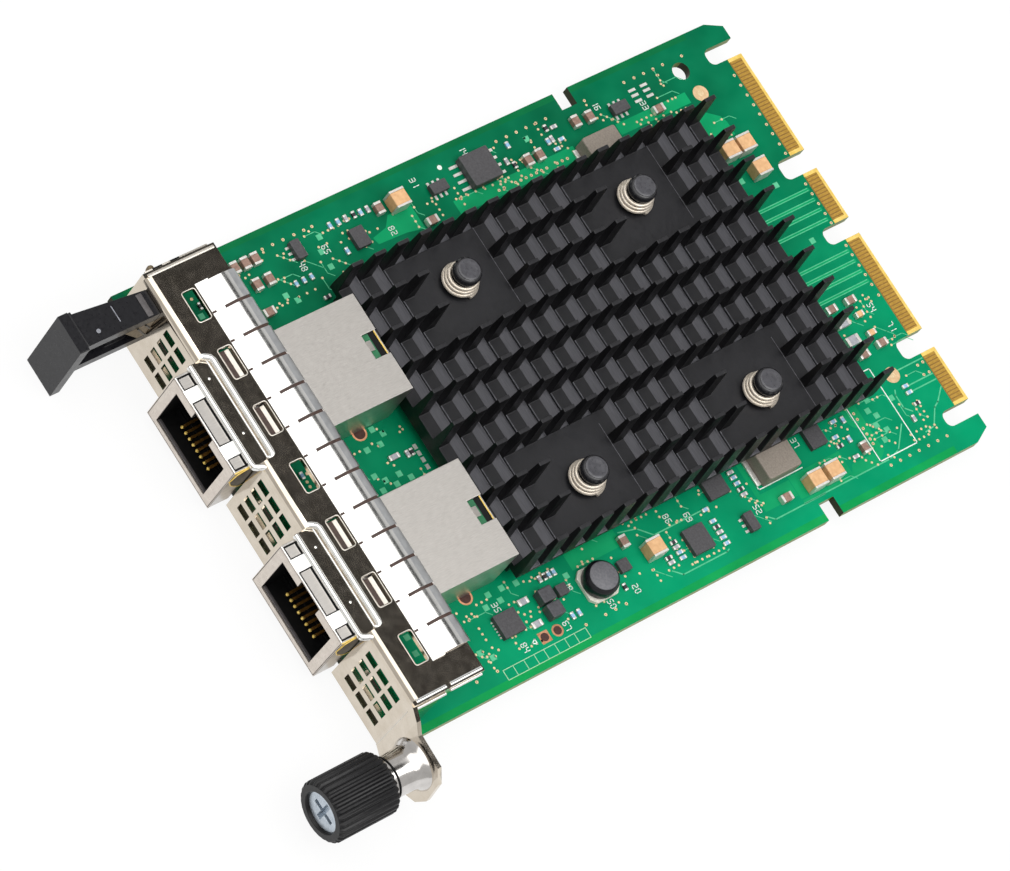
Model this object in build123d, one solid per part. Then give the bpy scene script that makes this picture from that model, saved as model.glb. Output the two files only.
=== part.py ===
"""Ethernet adapter card: board, faceplate, jacks, heat sink, thumbscrew and fitted components.

Everything is drawn from the middle of the board's front edge, on the board's top face,
and is moved once, in save(), so that the origin is the middle of the contact edge.
"""
import os

from build123d import *

# Board
BOARD_WIDTH = 76.0
BOARD_DEPTH = 115.0
BOARD_THICK = 1.57
CORNER_CHAMFER = (1.45, 2.9)
FRONT_RELIEF = 0.4
EAR_RELIEF = 1.4
FACE_GAP = 0.2
TONGUES = ((-31.5, -13.8), (-10.45, -1.45), (1.4, 18.8), (22.1, 31.5))
NOTCHES = ((-34.3, -31.5), (-13.8, -10.45), (-1.45, 1.4), (18.8, 22.1), (31.5, 34.15))
NOTCH_DEPTH = 5.8
NOTCH_RADIUS = 1.1
SIDE_NOTCH_Y = 83.4
SIDE_NOTCH = 2.9
CORNER_HOLE = (-32.9, -11.1, 2.9)
SMALL_HOLES = ((-4.5, 22.5), (23.4, 22.8), (33.7, 30.3), (33.7, 32.7))
SMALL_HOLE_DIAMETER = 1.2

# Edge contacts
CONTACT_PITCH = 0.6
CONTACT_WIDTH = 0.42
CONTACT_LENGTH = 2.3
CONTACT_THICK = 0.05
CONTACT_MARGIN = 0.5
CONTACT_SETBACK = 0.35

# Faceplate
SHEET = 0.7
FACE_Y = -0.3
BEND_RADIUS = 0.4
FACE_BOTTOM = -3.3
FLANGE_TOP = 11.4
FLANGE_MARGIN = 2.8
FLANGE_HALF = BOARD_WIDTH / 2 - FLANGE_MARGIN
FLANGE_REAR = 12.2
FACE_LEFT = -FLANGE_HALF - SHEET
FACE_RIGHT = FLANGE_HALF + SHEET
LIP_STEP_Y = 6.0
LIP_LOW_Z = 8.4
JOGGLE_Y = 2.6
JOGGLE_FRONT = -1.5
JOGGLE_TOP = 10.6
WINDOWS_X = (-28.6, -19.05, -9.6, 0.0, 9.5, 18.95, 28.5)
WINDOW = (4.8, 2.1)
WINDOW_Y = 4.45
VENT = (2.3, 1.6)
VENT_PITCH = 2.8
VENT_LOW_Z = -0.3
VENT_ROWS = 4
VENTS_X = (-26.75, -23.9, -1.7, 1.15, 4.0, 26.8, 29.65, 32.5)
EAR_Y = -1.3
EAR_EDGE = 3.75
EAR_OUTLINE = (
    (-3.75, 6.95), (-2.25, 5.25), (2.95, 5.05), (4.65, 2.6), (5.05, -2.45),
    (3.95, -5.25), (2.15, -6.45), (-3.75, -7.25),
)

# Spring-finger strip
FINGERS = 13
FINGER_PITCH = 4.84
FINGER_SLOT = 0.45
FINGER_THICK = 0.2
STRIP_FRONT = 5.9
STRIP_SLOT_Y = 8.4
FINGER_PROFILE = ((8.4, 11.4), (10.4, 11.85), (12.5, 11.5), (13.3, 10.3))

# Pull tab, across from the faceplate's end
TAB_PLATE_X = (0.1, 6.3)
TAB_PLATE_Z = (-4.0, 10.2)
TAB_FRONT = -14.6
TAB_PLATE_THICK = 1.6
TAB_ARM_RIGHT = 5.8
TAB_ARM_LEFT = (0.5, 1.8)
TAB_TOP_ARM = (7.9, 10.0)
TAB_LOW_ARM = (1.2, 3.0)
TAB_WEB = (1.9, 4.9)
TAB_HOLE = (-11.6, -6.8)

# Thumbscrew
SCREW_X = BOARD_WIDTH / 2 + EAR_EDGE
SCREW_Z = 4.15
KNOB_DIAMETER = 9.5
KNOB_RIBS = 36
KNOB_RIB_DEPTH = 0.25
KNOB_FRONT = -17.75
KNOB_REAR = -6.5
KNOB_BORE = 6.9
KNOB_BORE_END = -14.5
HEAD_DIAMETER = 6.2
HEAD_FRONT = -17.2
HEAD_REAR = -15.2
CROSS_SLOT = (4.0, 0.8, 1.0)
SHANK_DIAMETER = 2.9
SHANK_CLEARANCE = 0.05
THREAD_DIAMETER = 3.5
THREAD_LENGTH = 1.2
THREAD_END = 0.7
RELIEF_DIAMETER = 3.3
RELIEF_START = -4.3
BARREL_DIAMETER = 6.4
BARREL_FRONT = -8.5
BARREL_HOLE = 6.5
BARREL_BORE = 3.8
BARREL_BORE_START = -4.9
COLLAR_DIAMETER = 7.6
COLLAR_THICK = 0.6
SPRING_WIRE = 0.4
SPRING_DIAMETER = 4.4
SPRING_TURNS = 3
SPRING_END_GAP = 0.05

# Network jacks
JACKS = (("left", -12.9), ("right", 15.2))
JACK_WIDTH = 16.2
JACK_FRONT = -4.0
JACK_REAR = 28.0
JACK_TOP = 9.9
JACK_BOTTOM = -1.75
JACK_SHEET = 0.3
JACK_BOTTOM_CLEAR = 0.25
SOCKET_WIDTH = 12.6
SOCKET_Z = (0.3, 8.1)
SOCKET_LIP = -0.7
SOCKET_DEPTH = 13.0
LATCH_WIDTH = 4.6
LATCH_DEPTH = 9.0
PIN_PITCH = 1.0
PIN_WIDTH = 0.4
PIN_THICK = 0.35
PIN_FRONT = 2.2
PIN_Z = (0.08, 2.8)
PINS = 8
REAR_NOTCH = (4.0, 2.6)

# Heat sink
SINK_X = 0.0
SINK_COLUMNS = 10
SINK_COLUMN_PITCH = 5.394
SINK_ROWS = 17
SINK_FRONT = 29.45
SINK_REAR_MARGIN = 16.46
FIN_LENGTH = 2.05
SINK_ROW_PITCH = (BOARD_DEPTH - SINK_REAR_MARGIN - SINK_FRONT - FIN_LENGTH) / (SINK_ROWS - 1)
FIN_TOP_THICK = 0.6
FIN_BASE_THICK = 1.5
SINK_BOTTOM = 1.7
SINK_LIP = (1.75, 3.15)
SINK_FLOOR = 4.5
SINK_TOP = 11.4
GROOVE_DEPTH = 0.5
PAD_OUTER_COLUMNS = 1
PAD_COLUMNS = 2
PAD_OUTER_ROWS = 3
PAD_ROWS = 3
PUSH_PIN_X = 17.1
PUSH_PIN_HOLE = 3.2

# Push pins
PUSH_HEAD_DIAMETER = 4.4
PUSH_HEAD_Z = (7.4, 8.8)
PUSH_SHAFT_DIAMETER = 3.0
PUSH_TIP_Z = -3.0
PUSH_BARB_DIAMETER = 4.0
PUSH_BARB_Z = -2.6
PUSH_HEAD_CHAMFER = 0.5
PUSH_SPRING_DIAMETER = 5.9
PUSH_SPRING_TAPER = 1.0
PUSH_SPRING_WIRE = 0.5
PUSH_SPRING_RINGS = 3

# Flat sides given to turned parts, small moulded parts and hidden round parts
FINE_COUNT = 24
MEDIUM_COUNT = 12
COARSE_COUNT = 8

# Controller under the heat sink
CHIP_SIZE = 21.0
CHIP_HEIGHT = 1.0
DIE_SIZE = 12.0
DIE_HEIGHT = 1.4


def save(name, *solids):
    """Write one node, moved from the front edge to the contact edge."""
    group = Compound(children=list(solids)) if len(solids) > 1 else solids[0]
    os.makedirs("parts", exist_ok=True)
    export_step(Pos(0, -BOARD_DEPTH, BOARD_THICK / 2) * group, f"parts/{name}.step")


def block(x0, x1, y0, y1, z0, z1):
    """A box between two corners."""
    middle = Pos((x0 + x1) / 2, (y0 + y1) / 2, (z0 + z1) / 2)
    return middle * Box(x1 - x0, y1 - y0, z1 - z0)


def standing(x, y, width, depth, z0, z1):
    """A box standing on a level, given its middle."""
    return block(x - width / 2, x + width / 2, y - depth / 2, y + depth / 2, z0, z1)


def post(x, y, diameter, z0, z1):
    """An upright cylinder."""
    return Pos(x, y, (z0 + z1) / 2) * Cylinder(diameter / 2, z1 - z0)


def prism(x, y, diameter, sides, z0, z1):
    """An upright post with flat sides."""
    return Pos(x, y, z0) * extrude(RegularPolygon(diameter / 2, sides), amount=z1 - z0)


def rod(x, z, diameter, y0, y1):
    """A turned piece or bore along the plugging direction, with fine flat sides."""
    section = RegularPolygon(diameter / 2, FINE_COUNT)
    return Pos(x, y1, z) * Rot(90, 0, 0) * extrude(section, amount=y1 - y0)


def plate(points, y0, y1):
    """A sheet drawn in X and Z, thickened along Y."""
    face = make_face(Polyline(*[(x, y1, z) for x, z in points], close=True))
    return extrude(face, amount=y1 - y0, dir=(0, -1, 0))


def profile(points, x0, x1):
    """A section drawn in Y and Z, drawn out along X."""
    face = make_face(Polyline(*[(x0, y, z) for y, z in points], close=True))
    return extrude(face, amount=x1 - x0, dir=(1, 0, 0))


def edges_along_x(solid, y, z):
    """The edges of a bend line, by its place in Y and Z."""
    return [e for e in solid.edges().filter_by(Axis.X)
            if abs(e.center().Y - y) < 0.001 and abs(e.center().Z - z) < 0.001]


def ring(diameter, wire):
    """One flat turn of a spring, lying at the origin."""
    turn = RegularPolygon(diameter / 2, COARSE_COUNT) - RegularPolygon(diameter / 2 - wire, COARSE_COUNT)
    return extrude(turn, amount=wire)


def along(y):
    """A place along the board; a negative one counts forward from the contact edge."""
    return y if y >= 0 else BOARD_DEPTH + y


def make_board():
    """The circuit board with its contact tongues, notches and holes."""
    half = BOARD_WIDTH / 2
    cut_x, cut_y = CORNER_CHAMFER
    outline = (
        (-half, 0), (FACE_LEFT - FACE_GAP, 0), (FACE_LEFT - FACE_GAP, FRONT_RELIEF),
        (FACE_RIGHT + FACE_GAP, FRONT_RELIEF), (FACE_RIGHT + FACE_GAP, EAR_RELIEF), (half, EAR_RELIEF),
        (half, BOARD_DEPTH - cut_y), (half - cut_x, BOARD_DEPTH),
        (cut_x - half, BOARD_DEPTH), (-half, BOARD_DEPTH - cut_y),
    )
    board = extrude(make_face(Polyline(*outline, close=True)), amount=-BOARD_THICK)
    for x0, x1 in NOTCHES:
        gap = RectangleRounded(x1 - x0, 2 * NOTCH_DEPTH, NOTCH_RADIUS)
        board -= Pos((x0 + x1) / 2, BOARD_DEPTH, 0) * extrude(gap, amount=-BOARD_THICK)
    for side in (-half, half):
        gap = Rectangle(2 * SIDE_NOTCH, SIDE_NOTCH)
        board -= Pos(side, SIDE_NOTCH_Y, 0) * extrude(gap, amount=-BOARD_THICK)
    x, y, diameter = CORNER_HOLE
    board -= post(x, along(y), diameter, -BOARD_THICK, 0)
    for x, y in SMALL_HOLES:
        board -= prism(x, y, SMALL_HOLE_DIAMETER, COARSE_COUNT, -BOARD_THICK, 0)
    for x, y in push_pin_places():
        board -= prism(x, y, PUSH_PIN_HOLE, COARSE_COUNT, -BOARD_THICK, 0)
    save("circuit_board", board)


def make_edge_contacts():
    """Gold fingers on the upper face of the four tongues, gold strips on the lower face."""
    rear = BOARD_DEPTH - CONTACT_SETBACK
    front = rear - CONTACT_LENGTH
    fingers = []
    strips = []
    for x0, x1 in TONGUES:
        count = int((x1 - x0 - CONTACT_MARGIN) / CONTACT_PITCH)
        middle = (x0 + x1) / 2
        finger = block(-CONTACT_WIDTH / 2, CONTACT_WIDTH / 2, front, rear, 0, CONTACT_THICK)
        for place in GridLocations(CONTACT_PITCH, 1, count, 1):
            fingers.append(Pos(middle, 0, 0) * place * finger)
        half = (x1 - x0 - CONTACT_MARGIN) / 2
        strips.append(block(middle - half, middle + half, front, rear,
                            -BOARD_THICK - CONTACT_THICK, -BOARD_THICK))
    save("upper_edge_contacts", *fingers)
    save("lower_edge_contacts", *strips)


def make_faceplate():
    """Bent sheet: vented front wall, windowed flange, jack tongues and screw ear."""
    inner = FACE_Y + SHEET
    low = FLANGE_TOP - SHEET
    section = ((FACE_Y, FACE_BOTTOM), (FACE_Y, FLANGE_TOP), (FLANGE_REAR, FLANGE_TOP),
               (FLANGE_REAR, low), (inner, low), (inner, FACE_BOTTOM))
    sheet = profile(section, FACE_LEFT, FACE_RIGHT)
    sheet = fillet(edges_along_x(sheet, FACE_Y, FLANGE_TOP), BEND_RADIUS + SHEET)
    sheet = fillet(edges_along_x(sheet, inner, low), BEND_RADIUS)
    for x in VENTS_X:
        for row in range(VENT_ROWS):
            z = VENT_LOW_Z + row * VENT_PITCH
            sheet -= block(x - VENT[0] / 2, x + VENT[0] / 2, FACE_Y, inner,
                           z - VENT[1] / 2, z + VENT[1] / 2)
    for x in WINDOWS_X:
        sheet -= standing(x, WINDOW_Y, *WINDOW, low, FLANGE_TOP)
    half = JACK_WIDTH / 2 + 0.4
    for _, x in JACKS:
        sheet -= block(x - half, x + half, FACE_Y, JOGGLE_Y, FACE_BOTTOM, FLANGE_TOP)
        sheet += block(x - half, x + half, JOGGLE_FRONT, JOGGLE_Y, JOGGLE_TOP - SHEET, JOGGLE_TOP)
        sheet += block(x - half, x + half, JOGGLE_Y - SHEET, JOGGLE_Y, JOGGLE_TOP - SHEET, FLANGE_TOP)
    for x0, x1 in ((FACE_LEFT, FACE_LEFT + SHEET), (FACE_RIGHT - SHEET, FACE_RIGHT)):
        sheet += block(x0, x1, FACE_Y, LIP_STEP_Y, 0, FLANGE_TOP)
        sheet += block(x0, x1, LIP_STEP_Y, FLANGE_REAR, LIP_LOW_Z, FLANGE_TOP)
    ear_inner = EAR_Y + SHEET
    ear_outline = [(SCREW_X + x, SCREW_Z + z) for x, z in EAR_OUTLINE]
    edge = SCREW_X - EAR_EDGE
    ear_low, ear_high = ear_outline[-1][1], ear_outline[0][1]
    fold = ((FACE_RIGHT - SHEET, FACE_Y), (edge, EAR_Y), (edge, ear_inner), (FACE_RIGHT - SHEET, inner))
    face = make_face(Polyline(*[(x, y, ear_low) for x, y in fold], close=True))
    sheet += extrude(face, amount=ear_high - ear_low, dir=(0, 0, 1))
    ear = plate(ear_outline, EAR_Y, ear_inner)
    ear -= rod(SCREW_X, SCREW_Z, BARREL_HOLE, EAR_Y, ear_inner)
    save("faceplate", sheet + ear)


def make_finger_strip():
    """Thin strip of contact fingers lying on the flange."""
    left = -FINGERS * FINGER_PITCH / 2
    strip = block(left, -left, STRIP_FRONT, STRIP_SLOT_Y, FLANGE_TOP, FLANGE_TOP + FINGER_THICK)
    upper = [(y, z + FINGER_THICK) for y, z in FINGER_PROFILE]
    section = list(FINGER_PROFILE) + upper[::-1]
    for i in range(FINGERS):
        x = left + i * FINGER_PITCH
        strip += profile(section, x + FINGER_SLOT / 2, x + FINGER_PITCH - FINGER_SLOT / 2)
    save("spring_finger_strip", strip)


def make_pull_tab():
    """Moulded tab: grip plate, two arms and a web with a square hole."""
    x0, x1 = [FACE_LEFT + x for x in TAB_PLATE_X]
    plate_rear = TAB_FRONT + TAB_PLATE_THICK
    tab = block(x0, x1, TAB_FRONT, plate_rear, *TAB_PLATE_Z)
    front, rear = [FACE_LEFT + x for x in TAB_ARM_LEFT]
    right = FACE_LEFT + TAB_ARM_RIGHT
    for z0, z1 in (TAB_TOP_ARM, TAB_LOW_ARM):
        outline = ((front, plate_rear), (right, plate_rear), (right, FACE_Y), (rear, FACE_Y))
        face = make_face(Polyline(*[(x, y, z0) for x, y in outline], close=True))
        tab += extrude(face, amount=z1 - z0, dir=(0, 0, 1))
    web_left, web_right = [FACE_LEFT + x for x in TAB_WEB]
    tab += block(web_left, web_right, plate_rear, FACE_Y, TAB_LOW_ARM[0], TAB_TOP_ARM[1])
    tab -= block(x0, x1, *TAB_HOLE, TAB_LOW_ARM[1], TAB_TOP_ARM[0])
    save("pull_tab", tab)


def make_thumbscrew():
    """Fixed barrel, ribbed knob, captive screw drawn back into the barrel, and its return spring."""
    barrel = rod(SCREW_X, SCREW_Z, BARREL_DIAMETER, BARREL_FRONT, EAR_Y + SHEET)
    barrel += rod(SCREW_X, SCREW_Z, COLLAR_DIAMETER, EAR_Y - COLLAR_THICK, EAR_Y)
    barrel -= rod(SCREW_X, SCREW_Z, SHANK_DIAMETER + 2 * SHANK_CLEARANCE, BARREL_FRONT, BARREL_BORE_START)
    barrel -= rod(SCREW_X, SCREW_Z, BARREL_BORE, BARREL_BORE_START, EAR_Y + SHEET)
    save("thumbscrew_barrel", barrel)

    points = []
    for i in range(2 * KNOB_RIBS):
        radius = KNOB_DIAMETER / 2 - (i % 2) * KNOB_RIB_DEPTH
        points.append(Vector(radius, 0, 0).rotate(Axis.Y, 180 * i / KNOB_RIBS))
    ribbed = [(SCREW_X + p.X, SCREW_Z + p.Z) for p in points]
    knob = plate(ribbed, KNOB_FRONT, KNOB_REAR)
    knob -= rod(SCREW_X, SCREW_Z, HEAD_DIAMETER, KNOB_FRONT, HEAD_REAR)
    knob -= rod(SCREW_X, SCREW_Z, SHANK_DIAMETER, HEAD_REAR, KNOB_BORE_END)
    knob -= rod(SCREW_X, SCREW_Z, KNOB_BORE, KNOB_BORE_END, KNOB_REAR)
    save("thumbscrew_knob", knob)

    thread_start = THREAD_END - THREAD_LENGTH
    screw = rod(SCREW_X, SCREW_Z, HEAD_DIAMETER, HEAD_FRONT, HEAD_REAR)
    length, width, depth = CROSS_SLOT
    for dx, dz in ((length, width), (width, length)):
        screw -= block(SCREW_X - dx / 2, SCREW_X + dx / 2, HEAD_FRONT, HEAD_FRONT + depth,
                       SCREW_Z - dz / 2, SCREW_Z + dz / 2)
    screw += rod(SCREW_X, SCREW_Z, SHANK_DIAMETER, HEAD_REAR, RELIEF_START)
    screw += rod(SCREW_X, SCREW_Z, RELIEF_DIAMETER, RELIEF_START, thread_start)
    thread = Rot(90, 0, 0) * Cylinder(THREAD_DIAMETER / 2, THREAD_LENGTH)
    screw += Pos(SCREW_X, thread_start + THREAD_LENGTH / 2, SCREW_Z) * thread
    save("thumbscrew_screw", screw)

    start = KNOB_BORE_END + SPRING_END_GAP + SPRING_WIRE
    step = (BARREL_FRONT - SPRING_END_GAP - start) / (SPRING_TURNS - 1)
    turn = Rot(90, 0, 0) * ring(SPRING_DIAMETER, SPRING_WIRE)
    places = [Pos(SCREW_X, start + i * step, SCREW_Z) for i in range(SPRING_TURNS)]
    save("thumbscrew_spring", *[place * turn for place in places])


def make_jack(side, x):
    """One shielded socket: folded shield, moulded body and eight contacts."""
    half = JACK_WIDTH / 2
    inner = half - JACK_SHEET
    roof = JACK_TOP - JACK_SHEET
    step = -JACK_BOTTOM_CLEAR
    shield = block(x - half, x + half, JACK_FRONT, JACK_REAR, 0, JACK_TOP)
    shield += block(x - half, x + half, JACK_FRONT, step, JACK_BOTTOM, 0)
    hollow = block(x - inner, x + inner, JACK_FRONT, JACK_REAR - JACK_SHEET, 0, roof)
    hollow += block(x - inner, x + inner, JACK_FRONT, step, JACK_BOTTOM + JACK_SHEET, 0)
    shield -= hollow
    width, depth = REAR_NOTCH
    shield -= block(x - width / 2, x + width / 2, JACK_REAR - depth, JACK_REAR, roof, JACK_TOP)
    save(f"{side}_jack_shield", shield)

    front = JACK_FRONT + 0.2
    body = block(x - inner, x + inner, front, JACK_REAR - JACK_SHEET, 0, roof)
    body += block(x - inner, x + inner, front, step, JACK_BOTTOM + JACK_SHEET, 0)
    socket = SOCKET_WIDTH / 2
    low, high = SOCKET_Z
    latch = LATCH_WIDTH / 2
    body -= block(x - socket, x + socket, front, front + SOCKET_DEPTH, low, high)
    body -= block(x - socket, x + socket, front, step, SOCKET_LIP, low)
    body -= block(x - latch, x + latch, front, front + LATCH_DEPTH, high, roof)
    save(f"{side}_jack_body", body)

    y0, y1 = front + PIN_FRONT, front + SOCKET_DEPTH
    z0, z1 = PIN_Z
    section = ((y0, z0), (y0, z0 + PIN_THICK), (y1, z1 + PIN_THICK), (y1, z1))
    pin = profile(section, x - PIN_WIDTH / 2, x + PIN_WIDTH / 2)
    save(f"{side}_jack_contacts", *[place * pin for place in GridLocations(PIN_PITCH, 1, PINS, 1)])


def sink_columns():
    """Middles of the fins across the heat sink."""
    first = SINK_X - (SINK_COLUMNS - 1) * SINK_COLUMN_PITCH / 2
    return [first + i * SINK_COLUMN_PITCH for i in range(SINK_COLUMNS)]


def sink_rows():
    """Front ends of the fin rows."""
    return [SINK_FRONT + i * SINK_ROW_PITCH for i in range(SINK_ROWS)]


def pads():
    """Plain pads round the push pins, as X and Y ranges."""
    columns = sink_columns()
    rows = sink_rows()
    edge = FIN_BASE_THICK / 2
    first = PAD_OUTER_COLUMNS - 1
    x_ends = ((first, first + PAD_COLUMNS + 1), (-first - PAD_COLUMNS - 2, -first - 1))
    first = PAD_OUTER_ROWS - 1
    y_ends = ((first, first + PAD_ROWS + 1), (-first - PAD_ROWS - 2, -first - 1))
    return [((columns[i] + edge, columns[j] - edge), (rows[m] + FIN_LENGTH, rows[n]))
            for i, j in x_ends for m, n in y_ends]


def push_pin_places():
    """Middles of the four push pins."""
    return [(PUSH_PIN_X if x1 > 0 else -PUSH_PIN_X, (y0 + y1) / 2) for (x0, x1), (y0, y1) in pads()]


def on_pad(x, y):
    """Whether a place lies on one of the plain pads."""
    return any(x0 < x < x1 and y0 < y < y1 for (x0, x1), (y0, y1) in pads())


def fin(x, y):
    """One tapered fin standing on the floor of the heat sink."""
    low = FIN_BASE_THICK / 2
    high = FIN_TOP_THICK / 2
    section = ((x - low, SINK_FLOOR), (x + low, SINK_FLOOR), (x + high, SINK_TOP), (x - high, SINK_TOP))
    return plate(section, y, y + FIN_LENGTH)


def make_heat_sink():
    """Grooved base plate carrying rows of thin fins, with plain pads at the push pins."""
    columns = sink_columns()
    rows = sink_rows()
    left = columns[0] - FIN_BASE_THICK / 2
    right = columns[-1] + FIN_BASE_THICK / 2
    rear = rows[-1] + FIN_LENGTH
    lip, under = SINK_LIP
    sink = block(left, right, SINK_FRONT, rear, under, SINK_FLOOR)
    sink += block(left + lip, right - lip, SINK_FRONT, rear, SINK_BOTTOM, under)
    for y in rows[:-1]:
        sink -= block(left, right, y + FIN_LENGTH, y + SINK_ROW_PITCH,
                      SINK_FLOOR - GROOVE_DEPTH, SINK_FLOOR)
    for (x0, x1), (y0, y1) in pads():
        sink += block(x0, x1, y0, y1, SINK_FLOOR - GROOVE_DEPTH, SINK_FLOOR)
    for x, y in push_pin_places():
        sink -= prism(x, y, PUSH_PIN_HOLE, COARSE_COUNT, SINK_BOTTOM, SINK_FLOOR)
    fins = [fin(x, y) for x in columns for y in rows if not on_pad(x, y + FIN_LENGTH / 2)]
    save("heat_sink", sink.fuse(*fins))

    pins = []
    springs = []
    for x, y in push_pin_places():
        low, high = PUSH_HEAD_Z
        head = prism(x, y, PUSH_HEAD_DIAMETER, MEDIUM_COUNT, low, high)
        head = chamfer(head.faces().sort_by(Axis.Z)[-1].edges(), PUSH_HEAD_CHAMFER)
        shaft = prism(x, y, PUSH_SHAFT_DIAMETER, COARSE_COUNT, PUSH_TIP_Z, low)
        barb = prism(x, y, PUSH_BARB_DIAMETER, COARSE_COUNT, PUSH_BARB_Z, -BOARD_THICK)
        pins.append(head + shaft + barb)
        span = low - SINK_FLOOR - PUSH_SPRING_WIRE
        for i in range(PUSH_SPRING_RINGS):
            share = i / (PUSH_SPRING_RINGS - 1)
            turn = ring(PUSH_SPRING_DIAMETER - PUSH_SPRING_TAPER * share, PUSH_SPRING_WIRE)
            springs.append(Pos(x, y, SINK_FLOOR + span * share) * turn)
    save("heat_sink_push_pins", *pins)
    save("heat_sink_springs", *springs)


def make_controller():
    """Bare-die package under the heat sink and the pad that fills the gap."""
    y = (sink_rows()[0] + sink_rows()[-1] + FIN_LENGTH) / 2
    package = standing(SINK_X, y, CHIP_SIZE, CHIP_SIZE, 0, CHIP_HEIGHT)
    package += standing(SINK_X, y, DIE_SIZE, DIE_SIZE, CHIP_HEIGHT, DIE_HEIGHT)
    save("controller_chip", package)
    save("thermal_pad", standing(SINK_X, y, DIE_SIZE, DIE_SIZE, DIE_HEIGHT, SINK_BOTTOM))


# Chips: middle X, place along the board, size in X, size in Y, height
REGULATORS = ((-30.4, 39.8, 3.2, 2.4, 0.9), (25.6, 67.9, 3.9, 3.7, 0.9), (25.9, 87.4, 3.7, 3.0, 0.9),
              (31.6, 60.6, 4.1, 3.8, 0.9), (30.0, 47.5, 1.9, 1.9, 0.8), (29.0, 36.4, 1.7, 1.8, 1.0))
TRANSISTORS = ((-32.6, 29.8, 3.0, 1.6), (-32.2, 55.8, 1.7, 3.0), (-31.6, 90.4, 1.7, 3.0),
               (32.9, 69.9, 3.0, 1.6))
TRANSISTOR_PITCH = 0.95
TRANSISTOR_LEG = (0.6, 0.4)
MEMORY = (-32.25, 63.5, 5.1, 5.2, 1.6)
MEMORY_PITCH = 1.27
MEMORY_LEG = (1.5, 0.45)
LOGIC_CHIP = (29.8, 26.0, 3.7, 3.8, 1.0)
LOGIC_PITCH = 0.5
LOGIC_LEG = (0.25, 0.25)
LEG_THICK = 0.1
SMALL_CHIP_TOP = 1.1

# Inductors
BLOCK_INDUCTORS = ((-26.5, 83.2), (26.5, 78.4))
BLOCK_SIZE = (5.3, 6.3, 3.0)
ROUND_INDUCTOR = (30.4, 42.3)
ROUND_FLANGE = (5.6, 0.7)
ROUND_CORE = 4.4
ROUND_TOP = 3.0
DOUBLE_INDUCTOR = ((28.75, 33.3), (31.2, 33.3))
DOUBLE_SIZE = (2.2, 2.4, 1.9)

# Two-ended components: middle X, place along the board, whether the long side runs along the board
BROWN_CAPACITORS = (
    (-34.0, 19.3, 0), (-34.0, 21.2, 0), (-34.0, 23.0, 0), (-30.4, 21.0, 0), (-30.4, 23.2, 0),
    (-26.0, 20.2, 1), (-28.1, 51.8, 1), (-30.2, 71.6, 0), (-30.2, 73.8, 0), (-32.5, 82.4, 0),
    (-32.3, 85.0, 0), (-33.1, 45.2, 0), (26.9, 49.6, 0), (32.2, 77.4, 1),
    (-28.9, -18.8, 1),
)
TAN_CAPACITORS = (
    (-32.8, 48.2, 0), (29.95, 52.9, 0), (32.0, 82.8, 0), (32.0, 86.2, 0),
    (-18.2, -12.9, 0), (-18.2, -9.8, 0), (-13.85, -9.8, 0),
)
GREY_CAPACITORS = ((12.75, -12.1, 1), (15.85, -12.3, 1))
RESISTORS = ((-28.2, 26.8, 0), (-28.2, 28.2, 0), (-28.2, 29.6, 0))

# Length, width, height and width of the metal ends
BROWN_SIZE = (1.95, 1.25, 1.0, 0.4)
TAN_SIZE = (2.8, 2.6, 2.5, 0.35)
GREY_SIZE = (2.4, 1.5, 0.9, 0.5)
RESISTOR_SIZE = (1.05, 0.55, 0.38, 0.28)
END_RISE = 0.04


def two_ended(places, length, width, height, band):
    """Bodies and metal ends of a family of small components."""
    bodies = []
    ends = []
    middle = Box(length - 2 * band, width, height)
    end = Box(band, width, height + END_RISE)
    for x, y, lengthwise in places:
        place = Pos(x, along(y), height / 2) * Rot(0, 0, 90 if lengthwise else 0)
        bodies.append(place * middle)
        for shift in (-(length - band) / 2, (length - band) / 2):
            ends.append(place * Pos(shift, 0, END_RISE / 2) * end)
    return bodies, ends


def leg_row(x, y, across, reach, width, count, pitch):
    """Flat legs that run right under a package, out at both sides along X, or along Y when across."""
    leg = Box(reach, width, LEG_THICK)
    middle = Pos(x, y, LEG_THICK / 2) * Rot(0, 0, 90 if across else 0)
    return [middle * place * leg for place in GridLocations(1, pitch, 1, count)]


def make_chips():
    """Moulded packages and their legs."""
    save("regulator_chips", *[standing(x, y, w, d, 0, h) for x, y, w, d, h in REGULATORS])
    bodies = []
    legs = []
    reach, leg_width = TRANSISTOR_LEG
    for x, y, width, depth in TRANSISTORS:
        bodies.append(standing(x, y, width, depth, LEG_THICK, SMALL_CHIP_TOP))
        span = min(width, depth) + 2 * reach
        legs += leg_row(x, y, width > depth, span, leg_width, 3, TRANSISTOR_PITCH)
    save("transistor_bodies", *bodies)

    x, y, width, depth, top = MEMORY
    save("memory_chip", standing(x, y, width, depth, LEG_THICK, top))
    reach, leg_width = MEMORY_LEG
    legs += leg_row(x, y, True, depth + 2 * reach, leg_width, 4, MEMORY_PITCH)
    x, y, width, depth, top = LOGIC_CHIP
    save("logic_chip", standing(x, y, width, depth, LEG_THICK, top))
    reach, leg_width = LOGIC_LEG
    legs += leg_row(x, y, True, depth + 2 * reach, leg_width, 6, LOGIC_PITCH)
    save("chip_legs", *legs)


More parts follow.
